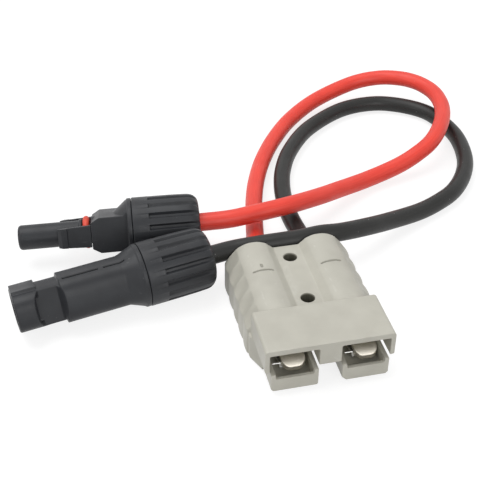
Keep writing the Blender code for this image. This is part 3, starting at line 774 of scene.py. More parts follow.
@dataclass
class BatteryHousing:
    """The one-piece grey housing of the battery connector, in millimetres.

    Attributes:
        tray_chamfers: The lower left chamfer of the tray on the +X and on the -X side.
        passage_sides: How far a contact's passage reaches to either side of its pole.
        passage_heights: Its floor and its roof.
        hole_rim: How far round a screw hole its wall counts as inside, for its painted shade.
        hole_fade: How far below the valley a hole's painted shade begins, and over what depth it grows.
        mark_zone: Where the marks' strokes lie along the barrels, from the bar's middle.
        mark_reach: How far the marks reach from a barrel's axis: across at most, and up at least.
        mark_fade: At what depth a stroke's painted shade begins, and over what depth it grows.
        mark_shade: How dark a stroke's painted shade gets at most.
        skin: How finely its moulded edges are skinned.
    """

    hood_width: float = 36.5
    hood_top: float = 15.7
    hood_thick: float = 1.8
    hood_front: float = -23.7
    hood_rear: float = -6.6
    front: float = -24.4
    rear: float = 24.8
    bulkhead: float = -8.6
    mid_height: float = 7.85
    lip_width: float = 1.3
    lip_bottom: float = 8.0
    key_width: float = 6.3
    key_bottom: float = 8.3
    tray_inner: float = 3.35
    tray_outer: float = 16.6
    tray_wall: float = 1.3
    tray_bottom: float = 1.75
    tray_floor: float = 3.2
    tray_top: float = 7.5
    tray_lip_top: float = 6.0
    tray_lip: float = 1.15
    tray_edge: float = 0.5
    tray_chamfers: Flat = (1.2, 0.5)
    passage_sides: Flat = (4.0, 4.5)
    passage_heights: Flat = (4.6, 9.6)
    passage_rear: float = 1.5
    barrel_height: float = 7.4
    barrel_radius: float = 8.15
    barrel_bore: float = 5.0
    flank_offset: float = 4.15
    valley_height: float = 12.5
    screw_hole_radius: float = 2.1
    screw_holes_y: Flat = (19.0, -0.6)
    grip_count: int = 5
    grip_pitch: float = 6.56
    grip_start: float = 25.3
    grip_crest: float = 19.4
    grip_notch: float = 18.9
    grip_foot_share: float = 0.6
    grip_bottom: float = 0.3
    grip_edge: float = 9.0
    grip_line_angle: float = 40.0
    grip_hollow: float = 0.3
    grip_ridge: float = 0.4
    gusset_end: float = -14.2
    mark_y: float = 10.9
    mark_depth: float = 0.45
    mark_width: float = 0.6
    mark_angle: float = 23.0
    mark_upright: Flat = (1.3, 2.9)
    # Where and how strongly the screw holes and the marks' strokes get painted shade.
    hole_rim: float = 0.12
    hole_fade: Flat = (0.15, 0.7)
    mark_zone: Flat = (-1.0, 3.3)
    mark_reach: Flat = (3.5, 6.0)
    mark_fade: Flat = (0.03, 0.12)
    mark_shade: float = 0.5
    skin: Skin = Skin(0.2, 2, 190000)

    def build(self) -> Item:
        """Build the housing and put it in place.

        Returns:
            The housing.
        """
        body = self.rear_block()
        hood = prism("hood", [(x, self.hood_front, z) for x, z in self.hood_outline()],
                     (0, self.hood_rear - self.hood_front, 0), 0.35)
        wall = block("bulkhead", (0.4 - self.hood_width / 2, self.bulkhead - 0.5, 0.3),
                     (self.hood_width / 2 - 0.4, self.hood_rear - 0.2, self.hood_top - 0.9))
        sides = [make(side) for make in (self.tray, self.gusset) for side in (1, -1)]
        combine(body, [hood, wall] + sides, Cut.JOIN)
        combine(body, self.cutters(), Cut.REMOVE)
        soften(body, self.skin)
        self.note_painted_shade(body)
        return dress(body, Matrix.Scale(MM, 4), GREY_PLASTIC, "lead", "housing")

    def note_painted_shade(self, body: Item) -> None:
        """Store how deep each point lies in a screw hole or a mark, as the share of painted shade that the
        finish darkens it by.
        """
        painted_shade_depths = body.data.attributes.new(MouldedPlastic.PAINTED_SHADE, 'FLOAT', 'POINT')
        painted_shade_depths.data.foreach_set("value", [self.painted_shade_share(corner.co) for corner in body.data.vertices])

    def painted_shade_share(self, spot: Vector) -> float:
        """How much painted shade a point gets, by how far it lies inside a screw hole or a mark.

        Args:
            spot: The point.

        Returns:
            One deep inside, nought on the open surface; this is its share of painted shade.
        """
        for y in self.screw_holes_y:
            if math.hypot(spot.x, spot.y - y) < self.screw_hole_radius + self.hole_rim:
                start, span = self.hole_fade
                return min(1.0, max(0.0, (self.valley_height - start - spot.z) / span))
        across, up = abs(spot.x) - Pole.NEGATIVE.value, spot.z - self.barrel_height
        marked = self.mark_zone[0] < spot.y - self.mark_y < self.mark_zone[1]
        if not (marked and abs(across) < self.mark_reach[0] and up > self.mark_reach[1]):
            return 0.0
        start, span = self.mark_fade
        depth = self.barrel_radius - math.hypot(across, up)
        return min(self.mark_shade, max(0.0, (depth - start) / span))

    def rear_block(self) -> Item:
        """The block behind the hood, with a row of scalloped lobes along each outer side.

        Returns:
            The block.
        """
        front, fine = self.hood_rear - 0.5, 14
        steps = [self.grip_start - self.grip_pitch * step / fine for step in range(fine * self.grip_count)]
        along = [self.rear] + [y for y in steps if front < y < self.rear] + [front]
        sections = [[(x, y, z) for x, z in self.rear_section(y)] for y in along]
        return skinned("housing_moulding", sections, False)

    def rear_section(self, y: float) -> list[Flat]:
        """The rear block's section at one place along the housing.

        Args:
            y: The place.

        Returns:
            Points (across, up): flat below, an upright wall, a hollow up to the barrel, and the valley.
        """
        pole, radius = Pole.NEGATIVE.value, self.barrel_radius
        out = self.scallop(y) if y > self.hood_rear else self.hood_width / 2
        foot = self.grip_crest - self.grip_foot_share * (self.grip_crest - out)
        flank = 90.0 + math.degrees(math.asin(self.flank_offset / radius))
        valley = math.sqrt(radius ** 2 - (self.valley_height - self.barrel_height) ** 2)
        barrel = arc((pole, self.barrel_height), radius, 90.0 - self.grip_line_angle, flank, 44)
        right = [(self.half_width - 0.6, 0.0), (foot, self.grip_bottom)]
        right += self.hollow((out, self.grip_edge), barrel[0], self.lobe(y)) + barrel
        right.append((pole - valley, self.valley_height))
        return mirrored(right)

    def hollow(self, start: Flat, end: Flat, lobe: float) -> list[Flat]:
        """The line between the wall's upper edge and the barrel: a ridge at a notch, hollow in a lobe.

        Args:
            start: The wall's edge, across and up.
            end: Where the line meets the barrel.
            lobe: Nought at a notch, one in the middle of a lobe.

        Returns:
            Points from the edge up to just below the barrel.
        """
        count, chord = 8, Vector(end) - Vector(start)
        depth = lobe * (self.grip_hollow + self.grip_ridge) - self.grip_ridge
        inward = Vector((-chord.y, chord.x)).normalized() * 4 * depth
        shares = [step / count for step in range(count)]
        return [tuple(Vector(start) + chord * t + inward * t * (1 - t)) for t in shares]

    @property
    def half_width(self) -> float:
        """Half the width of the block that the barrels stand on."""
        return Pole.NEGATIVE.value + self.barrel_radius

    def hood_outline(self) -> list[Flat]:
        """The hood's section: a plate with a lip at each side and a key in the middle.

        Returns:
            Points (across, up).
        """
        half, key = self.hood_width / 2, self.key_width / 2
        under = self.hood_top - self.hood_thick
        inner = half - self.lip_width
        right = [(key, self.key_bottom), (key, under), (inner, under), (inner, self.lip_bottom)]
        right += [(half - 0.3, self.lip_bottom), (half, self.lip_bottom + 0.3)]
        right += arc((half - 1.0, self.hood_top - 1.0), 1.0, 0.0, 90.0, 8)
        return mirrored(right)

    def tray(self, side: int) -> Item:
        """One open-topped tray of the mating face.

        Args:
            side: The side of the housing, as a sign.

        Returns:
            The tray.
        """
        middle = side * (self.tray_inner + self.tray_outer) / 2
        half = (self.tray_outer - self.tray_inner) / 2
        inside, low, top = half - self.tray_wall, self.tray_bottom, self.tray_top
        edge, chamfer = self.tray_edge, self.tray_chamfers[0 if side > 0 else 1]
        section = [(middle - half + chamfer, low), (middle + half - edge, low), (middle + half, low + edge)]
        section += [(middle + half, top), (middle - half, top), (middle - half, low + chamfer)]
        body = prism("tray", [(x, self.front, z) for x, z in section],
                     (0, self.hood_rear - 0.4 - self.front, 0))
        pocket = block("pocket", (middle - inside, self.front + self.tray_lip, self.tray_floor),
                       (middle + inside, self.bulkhead, top + 1.0))
        notch = block("notch", (middle - inside, self.front - 1.0, self.tray_lip_top),
                      (middle + inside, self.front + 2.0, top + 1.0))
        return combine(body, [pocket, notch], Cut.REMOVE)

    def gusset(self, side: int) -> Item:
        """The wedge that takes the side wall in to the tray's outer wall.

        Args:
            side: The side of the housing, as a sign.

        Returns:
            The wedge.
        """
        inside, low = self.tray_outer - 1.0, 0.3
        plan = [(self.grip_notch, self.hood_rear), (self.grip_notch, self.bulkhead)]
        plan += [(self.tray_outer, self.gusset_end), (inside, self.gusset_end), (inside, self.hood_rear)]
        return prism("gusset", [(side * x, y, low) for x, y in plan], (0, 0, self.lip_bottom + 0.1 - low))

    def scallop(self, y: float) -> float:
        """How far out the grip's outline stands at one place along the housing.

        Args:
            y: The place.

        Returns:
            The distance from the middle of the housing.
        """
        return self.grip_notch + (self.grip_crest - self.grip_notch) * self.lobe(y)

    def lobe(self, y: float) -> float:
        """How far into a lobe one place along the housing is.

        Args:
            y: The place.

        Returns:
            Nought at a notch, one in the middle of a lobe.
        """
        share = (self.grip_start - y) / self.grip_pitch % 1.0
        return 4 * share * (1 - share)

    def cutters(self) -> list[Item]:
        """Everything that is cut out of the joined body.

        Returns:
            The cutting bodies.
        """
        cuts = []
        for y in self.screw_holes_y:
            hole = rod("screw_hole", -1.0, 17.0, self.screw_hole_radius, 64)
            hole.data.transform(Matrix.Translation((0, y, 0)) @ Matrix.Rotation(-math.pi / 2, 4, 'Y'))
            cuts.append(hole)
        for pole in (Pole.POSITIVE.value, Pole.NEGATIVE.value):
            bore = rod("cable_bore", 0.5, 30.0, self.barrel_bore, 64)
            bore.data.transform(self.along_y(pole, self.mid_height))
            cuts.append(bore)
            (left, right), (floor, roof) = self.passage_sides, self.passage_heights
            cuts.append(block("passage", (pole - left, self.bulkhead - 2.0, floor),
                              (pole + right, self.passage_rear, roof)))
            cuts.append(self.mark_bar(pole))
        pole, half = Pole.POSITIVE.value, self.mark_width / 2
        crown = self.barrel_height + self.barrel_radius
        start, end = (self.mark_y + reach for reach in self.mark_upright)
        cuts.append(block("mark_upright", (pole - half, start, crown - self.mark_depth),
                          (pole + half, end, crown + 1.0)))
        return cuts

    def mark_bar(self, pole: float) -> Item:
        """The shallow groove across a barrel's top that is the bar of its polarity mark.

        Args:
            pole: Where the barrel's axis lies across the housing.

        Returns:
            The cutting body.
        """
        centre, angle = (pole, self.barrel_height), self.mark_angle
        band = arc(centre, self.barrel_radius - self.mark_depth, 90 - angle, 90 + angle, 24)
        band += arc(centre, self.barrel_radius + 1.0, 90 + angle, 90 - angle, 24)
        start = self.mark_y - self.mark_width / 2
        return prism("mark_bar", [(x, start, z) for x, z in band], (0, self.mark_width, 0))

    @staticmethod
    def along_y(x: float, z: float) -> Matrix:
        """Turns a shape drawn along X so that it runs along Y through (x, z)."""
        return Matrix.Translation((x, 0.0, z)) @ Matrix.Rotation(math.pi / 2, 4, 'Z')


@dataclass
class BatteryContact:
    """One pole's silver tongue with its crimp barrel, its leaf spring and its stripped core.

    Attributes:
        pole: The pole it belongs to.
        bend_angle: How far its nose is curved down, in degrees.
        bend_under_angle: The same for its underside.
        leaf_line: The leaf spring's upper side, along and up.
        tab_place: The middle of the spring's side tab, along and up.
        skin: How finely its rounded edges are skinned.
    """

    pole: Pole
    half_width: float = 3.35
    top: float = 7.9
    thick: float = 1.6
    nose: float = -20.7
    nose_corner: float = 2.3
    bend_start: float = -16.5
    bend_radius: float = 6.0
    bend_thick: float = 1.4
    bend_angle: float = 49.0
    bend_under_angle: float = 35.0
    nose_thick: float = 1.25
    tongue_rear: float = 5.0
    side_reach: float = 5.0
    lean: float = 1.3
    crimp_front: float = 2.5
    crimp_rear: float = 16.0
    crimp_radius: float = 3.4
    crimp_bore: float = 2.2
    crimp_edge: float = 0.5
    crimp_floor: float = 2.5
    crimp_height: float = 7.85
    leaf_half_width: float = 2.6
    leaf_thick: float = 0.4
    leaf_line: tuple[Flat, ...] = ((-9.45, 3.9), (-10.6, 3.9), (-17.3, 5.75), (-18.3, 5.75), (-19.2, 5.2))
    tab_place: Flat = (-18.0, 5.70)
    tab_radius: float = 0.32
    tab_outer: float = 4.4
    tab_length: float = 2.4
    skin: Skin = Skin(0.13, 4, 60000)

    def build(self) -> list[Item]:
        """Build the contact, the spring and the core, and put them in place.

        Returns:
            The three pieces.
        """
        word, scale = self.pole.word, Matrix.Scale(MM, 4)
        tongue = dress(self.tongue(), scale, SILVER_PLATE, word + "_tongue", word + "_contact")
        leaf = dress(self.leaf(), scale, SPRING_STEEL, word + "_leaf", word + "_leaf_spring")
        core = smoothed_copy(word + "_strands", word + "_core_end")
        dress(core, Matrix.Identity(4), COPPER_STRAND, word + "_tongue", word + "_core_end")
        return [tongue, leaf, core]

    def tongue(self) -> Item:
        """The flat tongue with its round, down-turned nose, joined to the crimp barrel.

        Returns:
            The contact.
        """
        body = prism(self.pole.word + "_silver_tongue", self.tongue_plan(), (0, 0, 12.0))
        combine(body, [prism("side", self.tongue_side(), (2 * self.side_reach, 0, 0))], Cut.COMMON)
        front, radius, bore = self.crimp_front, self.crimp_radius, self.crimp_bore
        edge, floor = self.crimp_edge, front + self.crimp_floor
        profile = [(front, 0.0), (front, radius - edge), (front + edge, radius), (self.crimp_rear, radius)]
        profile += [(self.crimp_rear, bore), (floor, bore), (floor, 0.0)]
        barrel = turned("barrel", profile, 64)
        barrel.data.transform(BatteryHousing.along_y(self.pole.value, self.crimp_height))
        combine(body, [barrel], Cut.JOIN)
        return soften(body, self.skin)

    def tongue_plan(self) -> list[Point]:
        """The tongue seen from above: it leans to one side, and its blunt nose has round corners.

        Returns:
            Its outline.
        """
        x, half, corner = self.pole.value, self.half_width, self.nose_corner
        nose_x, corner_y, inset = x + self.lean, self.nose + corner, half - corner
        points = [(x + half, 4.0)] + arc((nose_x + inset, corner_y), corner, 0.0, -90.0, 16)
        points += arc((nose_x - inset, corner_y), corner, -90.0, -180.0, 16) + [(x - half, 4.0)]
        return [(across, along, 0.0) for across, along in points]

    def tongue_side(self) -> list[Point]:
        """The tongue seen from the side, with its nose curved down.

        Returns:
            Its outline.
        """
        radius, centre = self.bend_radius, (self.bend_start, self.top - self.bend_radius)
        upper = [(self.tongue_rear, self.top)] + arc(centre, radius, 90.0, 90.0 + self.bend_angle, 18)
        lower = [(upper[-1][0], upper[-1][1] - self.nose_thick)]
        lower += arc(centre, radius - self.bend_thick, 90.0 + self.bend_under_angle, 90.0, 12)
        lower.append((self.tongue_rear, self.top - self.thick))
        return [(self.pole.value - self.side_reach, y, z) for y, z in upper + lower]

    def leaf(self) -> Item:
        """The spring strip under the tongue, with the bright tab at its side.

        Returns:
            The spring.
        """
        outline = list(self.leaf_line) + [(y, z - self.leaf_thick) for y, z in reversed(self.leaf_line)]
        x, half = self.pole.value, self.leaf_half_width
        strip = [(x - half, y, z) for y, z in outline]
        body = prism(self.pole.word + "_spring_strip", strip, (2 * half, 0, 0))
        tab = [(x - self.tab_outer, y, z) for y, z in arc(self.tab_place, self.tab_radius, 0.0, 337.5, 15)]
        return combine(body, [prism("tab", tab, (self.tab_length, 0, 0))], Cut.JOIN)


# Solar connectors


@dataclass(frozen=True)
class Placement:
    """Where a solar connector lies, in millimetres.

    Attributes:
        rear: The centre of the nut's rear end.
        tip: The centre of the mating end.
        roll: The turn about its axis in degrees.
        nut_length: From the nut's rear end to the seam.
    """

    rear: Point
    tip: Point
    roll: float
    nut_length: float = 21.2

    @property
    def axis(self) -> Vector:
        """The unit vector from the nut towards the mating end."""
        return (Vector(self.tip) - Vector(self.rear)).normalized()

    def point(self, x: float) -> Vector:
        """The point on the axis at x from the seam."""
        return Vector(self.rear) + self.axis * (self.nut_length + x)

    def matrix(self) -> Matrix:
        """The matrix from the connector's drawing to the frame in metres.

        Returns:
            The matrix.
        """
        axis = self.axis
        across = Vector((0, 0, 1)).cross(axis).normalized()
        flat = Matrix((axis, across, axis.cross(across))).transposed().to_4x4()
        turn = flat @ Matrix.Rotation(math.radians(self.roll), 4, 'X')
        return Matrix.Translation(self.point(0.0) * MM) @ turn @ Matrix.Scale(MM, 4)


@dataclass
class GlandNut:
    """A gland nut: a plain collar, a fluted grip and a round rear end with the cable's hole.

    Attributes:
        flutes: How many grooves run along the grip.
        groove_share: How much of a flute's pitch is groove.
        grip: The fluted grip's line, as (x, radius) points.
        dome: Where the round rear end begins.
        hole: The rear face and the inside, from the back forwards.
        steps_per_flute: Mesh steps across one flute.
    """

    radius: float = 9.8
    length: float = 21.2
    front: float = -0.06
    lip: float = 0.35
    collar_end: float = -5.2
    grip: tuple[Flat, ...] = ((-8.0, 9.79), (-12.0, 9.75), (-15.0, 9.69))
    grip_end: Flat = (-17.3, 9.6)
    dome: Flat = (-17.6, 9.58)
    dome_drop: float = 3.0
    dome_steps: int = 12
    hole: tuple[Flat, ...] = ((-21.2, 6.4), (-21.2, 4.1), (-20.9, 3.75), (-18.6, 3.75), (-18.1, 5.9),
                              (-12.6, 7.1), (-11.4, 7.95), (-0.16, 7.95), (-0.06, 8.1))
    groove_depth: float = 0.85
    flutes: int = 16
    groove_share: float = 0.36
    steps_per_flute: int = 20

    def profile(self) -> list[Point]:
        """The nut's closed section.

        Returns:
            Points of x, radius and how deep the grooves are there.
        """
        radius, depth, edge = self.radius, self.groove_depth, self.collar_end
        lip = arc((self.front - self.lip, radius - self.lip), self.lip, 0.0, 90.0, 5)
        points = [(x, r, 0.0) for x, r in lip]
        step = ((0.0, 0.0), (0.12, 0.5), (0.25, 0.95))
        points += [(edge - behind, radius, share * depth) for behind, share in step]
        points += [(x, r, depth) for x, r in self.grip] + [(*self.grip_end, 0.95 * depth)]
        start, crown = self.dome
        for i in range(1, self.dome_steps + 1):
            angle = math.radians(90.0 * i / (self.dome_steps + 1))
            x, drop = (self.length + start) * math.sin(angle), self.dome_drop * (1 - math.cos(angle))
            points.append((start - x, crown - drop, 0.9 * depth * math.cos(angle) ** 2))
        points += [(x, r, 0.0) for x, r in self.hole]
        return points + points[:1]

    def build(self, name: str, place: Matrix, body: str, node: str) -> Item:
        """Build a nut and put it in place.

        Args:
            name: The piece's name.
            place: The connector's matrix.
            body: The body it rides on.
            node: The solid it stands for.

        Returns:
            The nut.
        """
        mesh = bpy.data.meshes.new(name + "_section")
        mesh.from_pydata(self.profile(), [], [])
        item = new_object(name, mesh)
        tree = fluted_turning_tree()
        values = {"Flutes": self.flutes, "Groove Share": self.groove_share,
                  "Steps": self.flutes * self.steps_per_flute, "Material": BLACK_PLASTIC.material()}
        run_tree(item, tree, values)
        return dress(facing_out(item), place, BLACK_PLASTIC, body, node)


def run_tree(item: Item, tree: Tree, values: dict[str, object]) -> Item:
    """Run a geometry tree on an item and keep its result as a plain mesh.

    Args:
        item: The item whose mesh goes in.
        tree: The tree.
        values: The tree's inputs by name.

    Returns:
        The item with its new mesh.
    """
    modifier = item.modifiers.new(tree.name, 'NODES')
    modifier.node_group = tree
    for socket in tree.interface.items_tree:
        if socket.in_out == 'INPUT' and socket.name in values:
            modifier[socket.identifier] = values[socket.name]
    mesh = baked(item)
    item.modifiers.clear()
    item.data = mesh
    return item


def facing_out(item: Item) -> Item:
    """Merge an item's doubled corners and turn its faces outwards.

    Args:
        item: The item.

    Returns:
        The same item.
    """
    bm = bmesh.new()
    bm.from_mesh(item.data)
    bmesh.ops.remove_doubles(bm, verts=bm.verts[:], dist=1e-4)
    bmesh.ops.recalc_face_normals(bm, faces=bm.faces[:])
    bm.to_mesh(item.data)
    bm.free()
    return item


def start_tree(name: str, inputs: dict[str, str]) -> tuple[Wiring, Node, Node]:
    """An empty geometry tree.

    Args:
        name: The tree's name.
        inputs: Its inputs' names and socket types, besides the geometry.

    Returns:
        The wiring, the input node and the output node.
    """
    tree = bpy.data.node_groups.new(name, 'GeometryNodeTree')
    tree.interface.new_socket("Geometry", in_out='INPUT', socket_type='NodeSocketGeometry')
    for label, kind in inputs.items():
        tree.interface.new_socket(label, in_out='INPUT', socket_type=kind)
    tree.interface.new_socket("Geometry", in_out='OUTPUT', socket_type='NodeSocketGeometry')
    wiring = Wiring(tree)
    return wiring, wiring.add('NodeGroupInput'), wiring.add('NodeGroupOutput')


def end_tree(wiring: Wiring, shape: Socket, material: Socket, result: Node) -> None:
    """Close a geometry tree with realised instances and a material.

    Args:
        wiring: The tree's wiring.
        shape: The socket that gives the shape.
        material: The socket that gives the material.
        result: The output node.
    """
    real = wiring.add('GeometryNodeRealizeInstances', {"Geometry": shape}).outputs[0]
    painted = wiring.add('GeometryNodeSetMaterial', {"Geometry": real, "Material": material}).outputs[0]
    wiring.link(painted, result, "Geometry")


def groove_mask(wiring: Wiring, turn: Socket, source: Node) -> Socket:
    """How much of a groove's depth shows at one place round a nut.

    Args:
        wiring: The tree's wiring.
        turn: The place, as a share of a full turn.
        source: The tree's input node.

    Returns:
        One in the middle of a groove, nought between grooves.
    """
    flute = wiring.calc('FRACT', wiring.calc('MULTIPLY', turn, source.outputs["Flutes"]))
    from_groove = wiring.calc('MULTIPLY', wiring.calc('ABSOLUTE', wiring.calc('SUBTRACT', flute, 0.5)), 2.0)
    bounds = [wiring.calc(way, source.outputs["Groove Share"], 0.16) for way in ('SUBTRACT', 'ADD')]
    return wiring.remap(from_groove, tuple(bounds), (1.0, 0.0), True)


@cache
def fluted_turning_tree() -> Tree:
    """The tree that turns a section of (x, radius, groove depth) points about X and cuts its flutes.

    Returns:
        The tree.
    """
    kinds = {"Flutes": 'NodeSocketInt', "Groove Share": 'NodeSocketFloat', "Steps": 'NodeSocketInt',
             "Material": 'NodeSocketMaterial'}
    wiring, source, result = start_tree("fluted_turning", kinds)
    section, steps = source.outputs["Geometry"], source.outputs["Steps"]
    count = wiring.add('GeometryNodeAttributeDomainSize', {"Geometry": section}).outputs["Point Count"]
    across = wiring.calc('ADD', steps, 1.0)
    grid = wiring.add('GeometryNodeMeshGrid', {"Vertices X": count, "Vertices Y": across}).outputs["Mesh"]
    index = wiring.add('GeometryNodeInputIndex').outputs[0]
    row = wiring.calc('FLOOR', wiring.calc('DIVIDE', wiring.calc('ADD', index, 0.5), across))
    column = wiring.calc('SUBTRACT', index, wiring.calc('MULTIPLY', row, across))
    spot = wiring.add('GeometryNodeInputPosition').outputs[0]
    sampled = wiring.add('GeometryNodeSampleIndex', {"Geometry": section}, data_type='FLOAT_VECTOR')
    wiring.link(spot, sampled, "Value")
    wiring.link(row, sampled, "Index")
    parts = wiring.add('ShaderNodeSeparateXYZ', {0: sampled.outputs["Value"]}).outputs
    turn = wiring.calc('DIVIDE', column, steps)
    groove = groove_mask(wiring, turn, source)
    reach = wiring.calc('SUBTRACT', parts[1], wiring.calc('MULTIPLY', parts[2], groove))
    angle = wiring.calc('MULTIPLY', turn, 2 * math.pi)
    round_it = [wiring.calc('MULTIPLY', reach, wiring.calc(way, angle)) for way in ('COSINE', 'SINE')]
    place = wiring.add('ShaderNodeCombineXYZ', {0: parts[0], 1: round_it[0], 2: round_it[1]}).outputs[0]
    moved = wiring.add('GeometryNodeSetPosition', {"Geometry": grid, "Position": place}).outputs[0]
    closed = wiring.add('GeometryNodeMergeByDistance', {"Geometry": moved, "Distance": 0.001}).outputs[0]
    end_tree(wiring, closed, source.outputs["Material"], result)
    return wiring.tree


@dataclass
class SolarConnector:
    """What both solar connectors share: flange, threaded spigot and gland.

    Attributes:
        place: Where the connector lies.
        word: The name that its pieces carry.
        sides: Mesh steps round its body.
    """

    place: Placement
    word: str
    flange_radius: float = 9.7
    flange_rear: float = 0.06
    spigot_root: float = 7.0
    spigot_crest: float = 7.6
    spigot_end: float = -9.5
    thread_pitch: float = 1.5
    seal_pocket: float = 5.9
    seal_pocket_front: float = -3.2
    crimp_pocket: float = 3.75
    sides: int = 96
    pieces: list[Item] = field(default_factory=list)

    def build(self) -> list[Item]:
        """Build every piece of the connector and put it in place.

        Returns:
            The pieces.
        """
        self.keep(self.body(), BLACK_PLASTIC, "lead", self.word + "_body")
        self.inside()
        nut = GlandNut().build(self.word + "_fluted_nut", self.place.matrix(), self.word + "_nut",
                               self.word + "_gland_nut")
        self.pieces.append(nut)
        inner = ((BLACK_RUBBER, "_gland_seal", "lead"),
                 (BLACK_PLASTIC, "_gland_collet", self.word + "_collet"),
                 (COPPER_STRAND, "_core_end", "lead"))
        for finish, node, body in inner:
            copy = smoothed_copy(self.word + node + "_shape", self.word + node)
            self.pieces.append(dress(copy, Matrix.Identity(4), finish, body, self.word + node))
        return self.pieces

    def keep(self, item: Item, finish: Finish, body: str, node: str) -> None:
        """Dress a piece and note it as one of the connector's."""
        self.pieces.append(dress(item, self.place.matrix(), finish, body, node))

    def body(self) -> Item:
        """The connector's moulded body."""
        raise NotImplementedError

    def inside(self) -> None:
        """Build what the body carries."""
        raise NotImplementedError

    def round_rings(self, profile: Profile) -> list[list[Point]]:
        """Plain rings from (x, radius) points."""
        return [ring(x, self.sides, lambda angle, r=radius: r) for x, radius in profile]

    def thread_reach(self, x: float, angle: float) -> float:
        """The spigot's radius at one place on its thread.

        Args:
            x: The place along the axis.
            angle: The place round it, in radians.

        Returns:
            The radius.
        """
        phase = (x / self.thread_pitch - angle / (2 * math.pi)) % 1.0
        height = self.spigot_crest - self.spigot_root
        return self.spigot_root + height * max(0.0, 1.0 - abs(phase - 0.5) * 3.0)

    def spigot_rings(self) -> list[list[Point]]:
        """Rings of the threaded spigot, from the flange to its pocket's floor.

        Returns:
            The rings in order.
        """
        rings = self.round_rings([(self.flange_rear, self.spigot_root)])
        step = self.thread_pitch / 6
        count = round((-1.0 - self.spigot_end) / step)
        for x in (-0.5 - i * step for i in range(count + 1)):
            rings.append(ring(x, self.sides, partial(self.thread_reach, x)))
        end, front = self.spigot_end, self.seal_pocket_front
        return rings + self.round_rings([(end, self.spigot_root - 0.3), (end, self.seal_pocket),
                                         (front, self.seal_pocket), (front, self.crimp_pocket)])


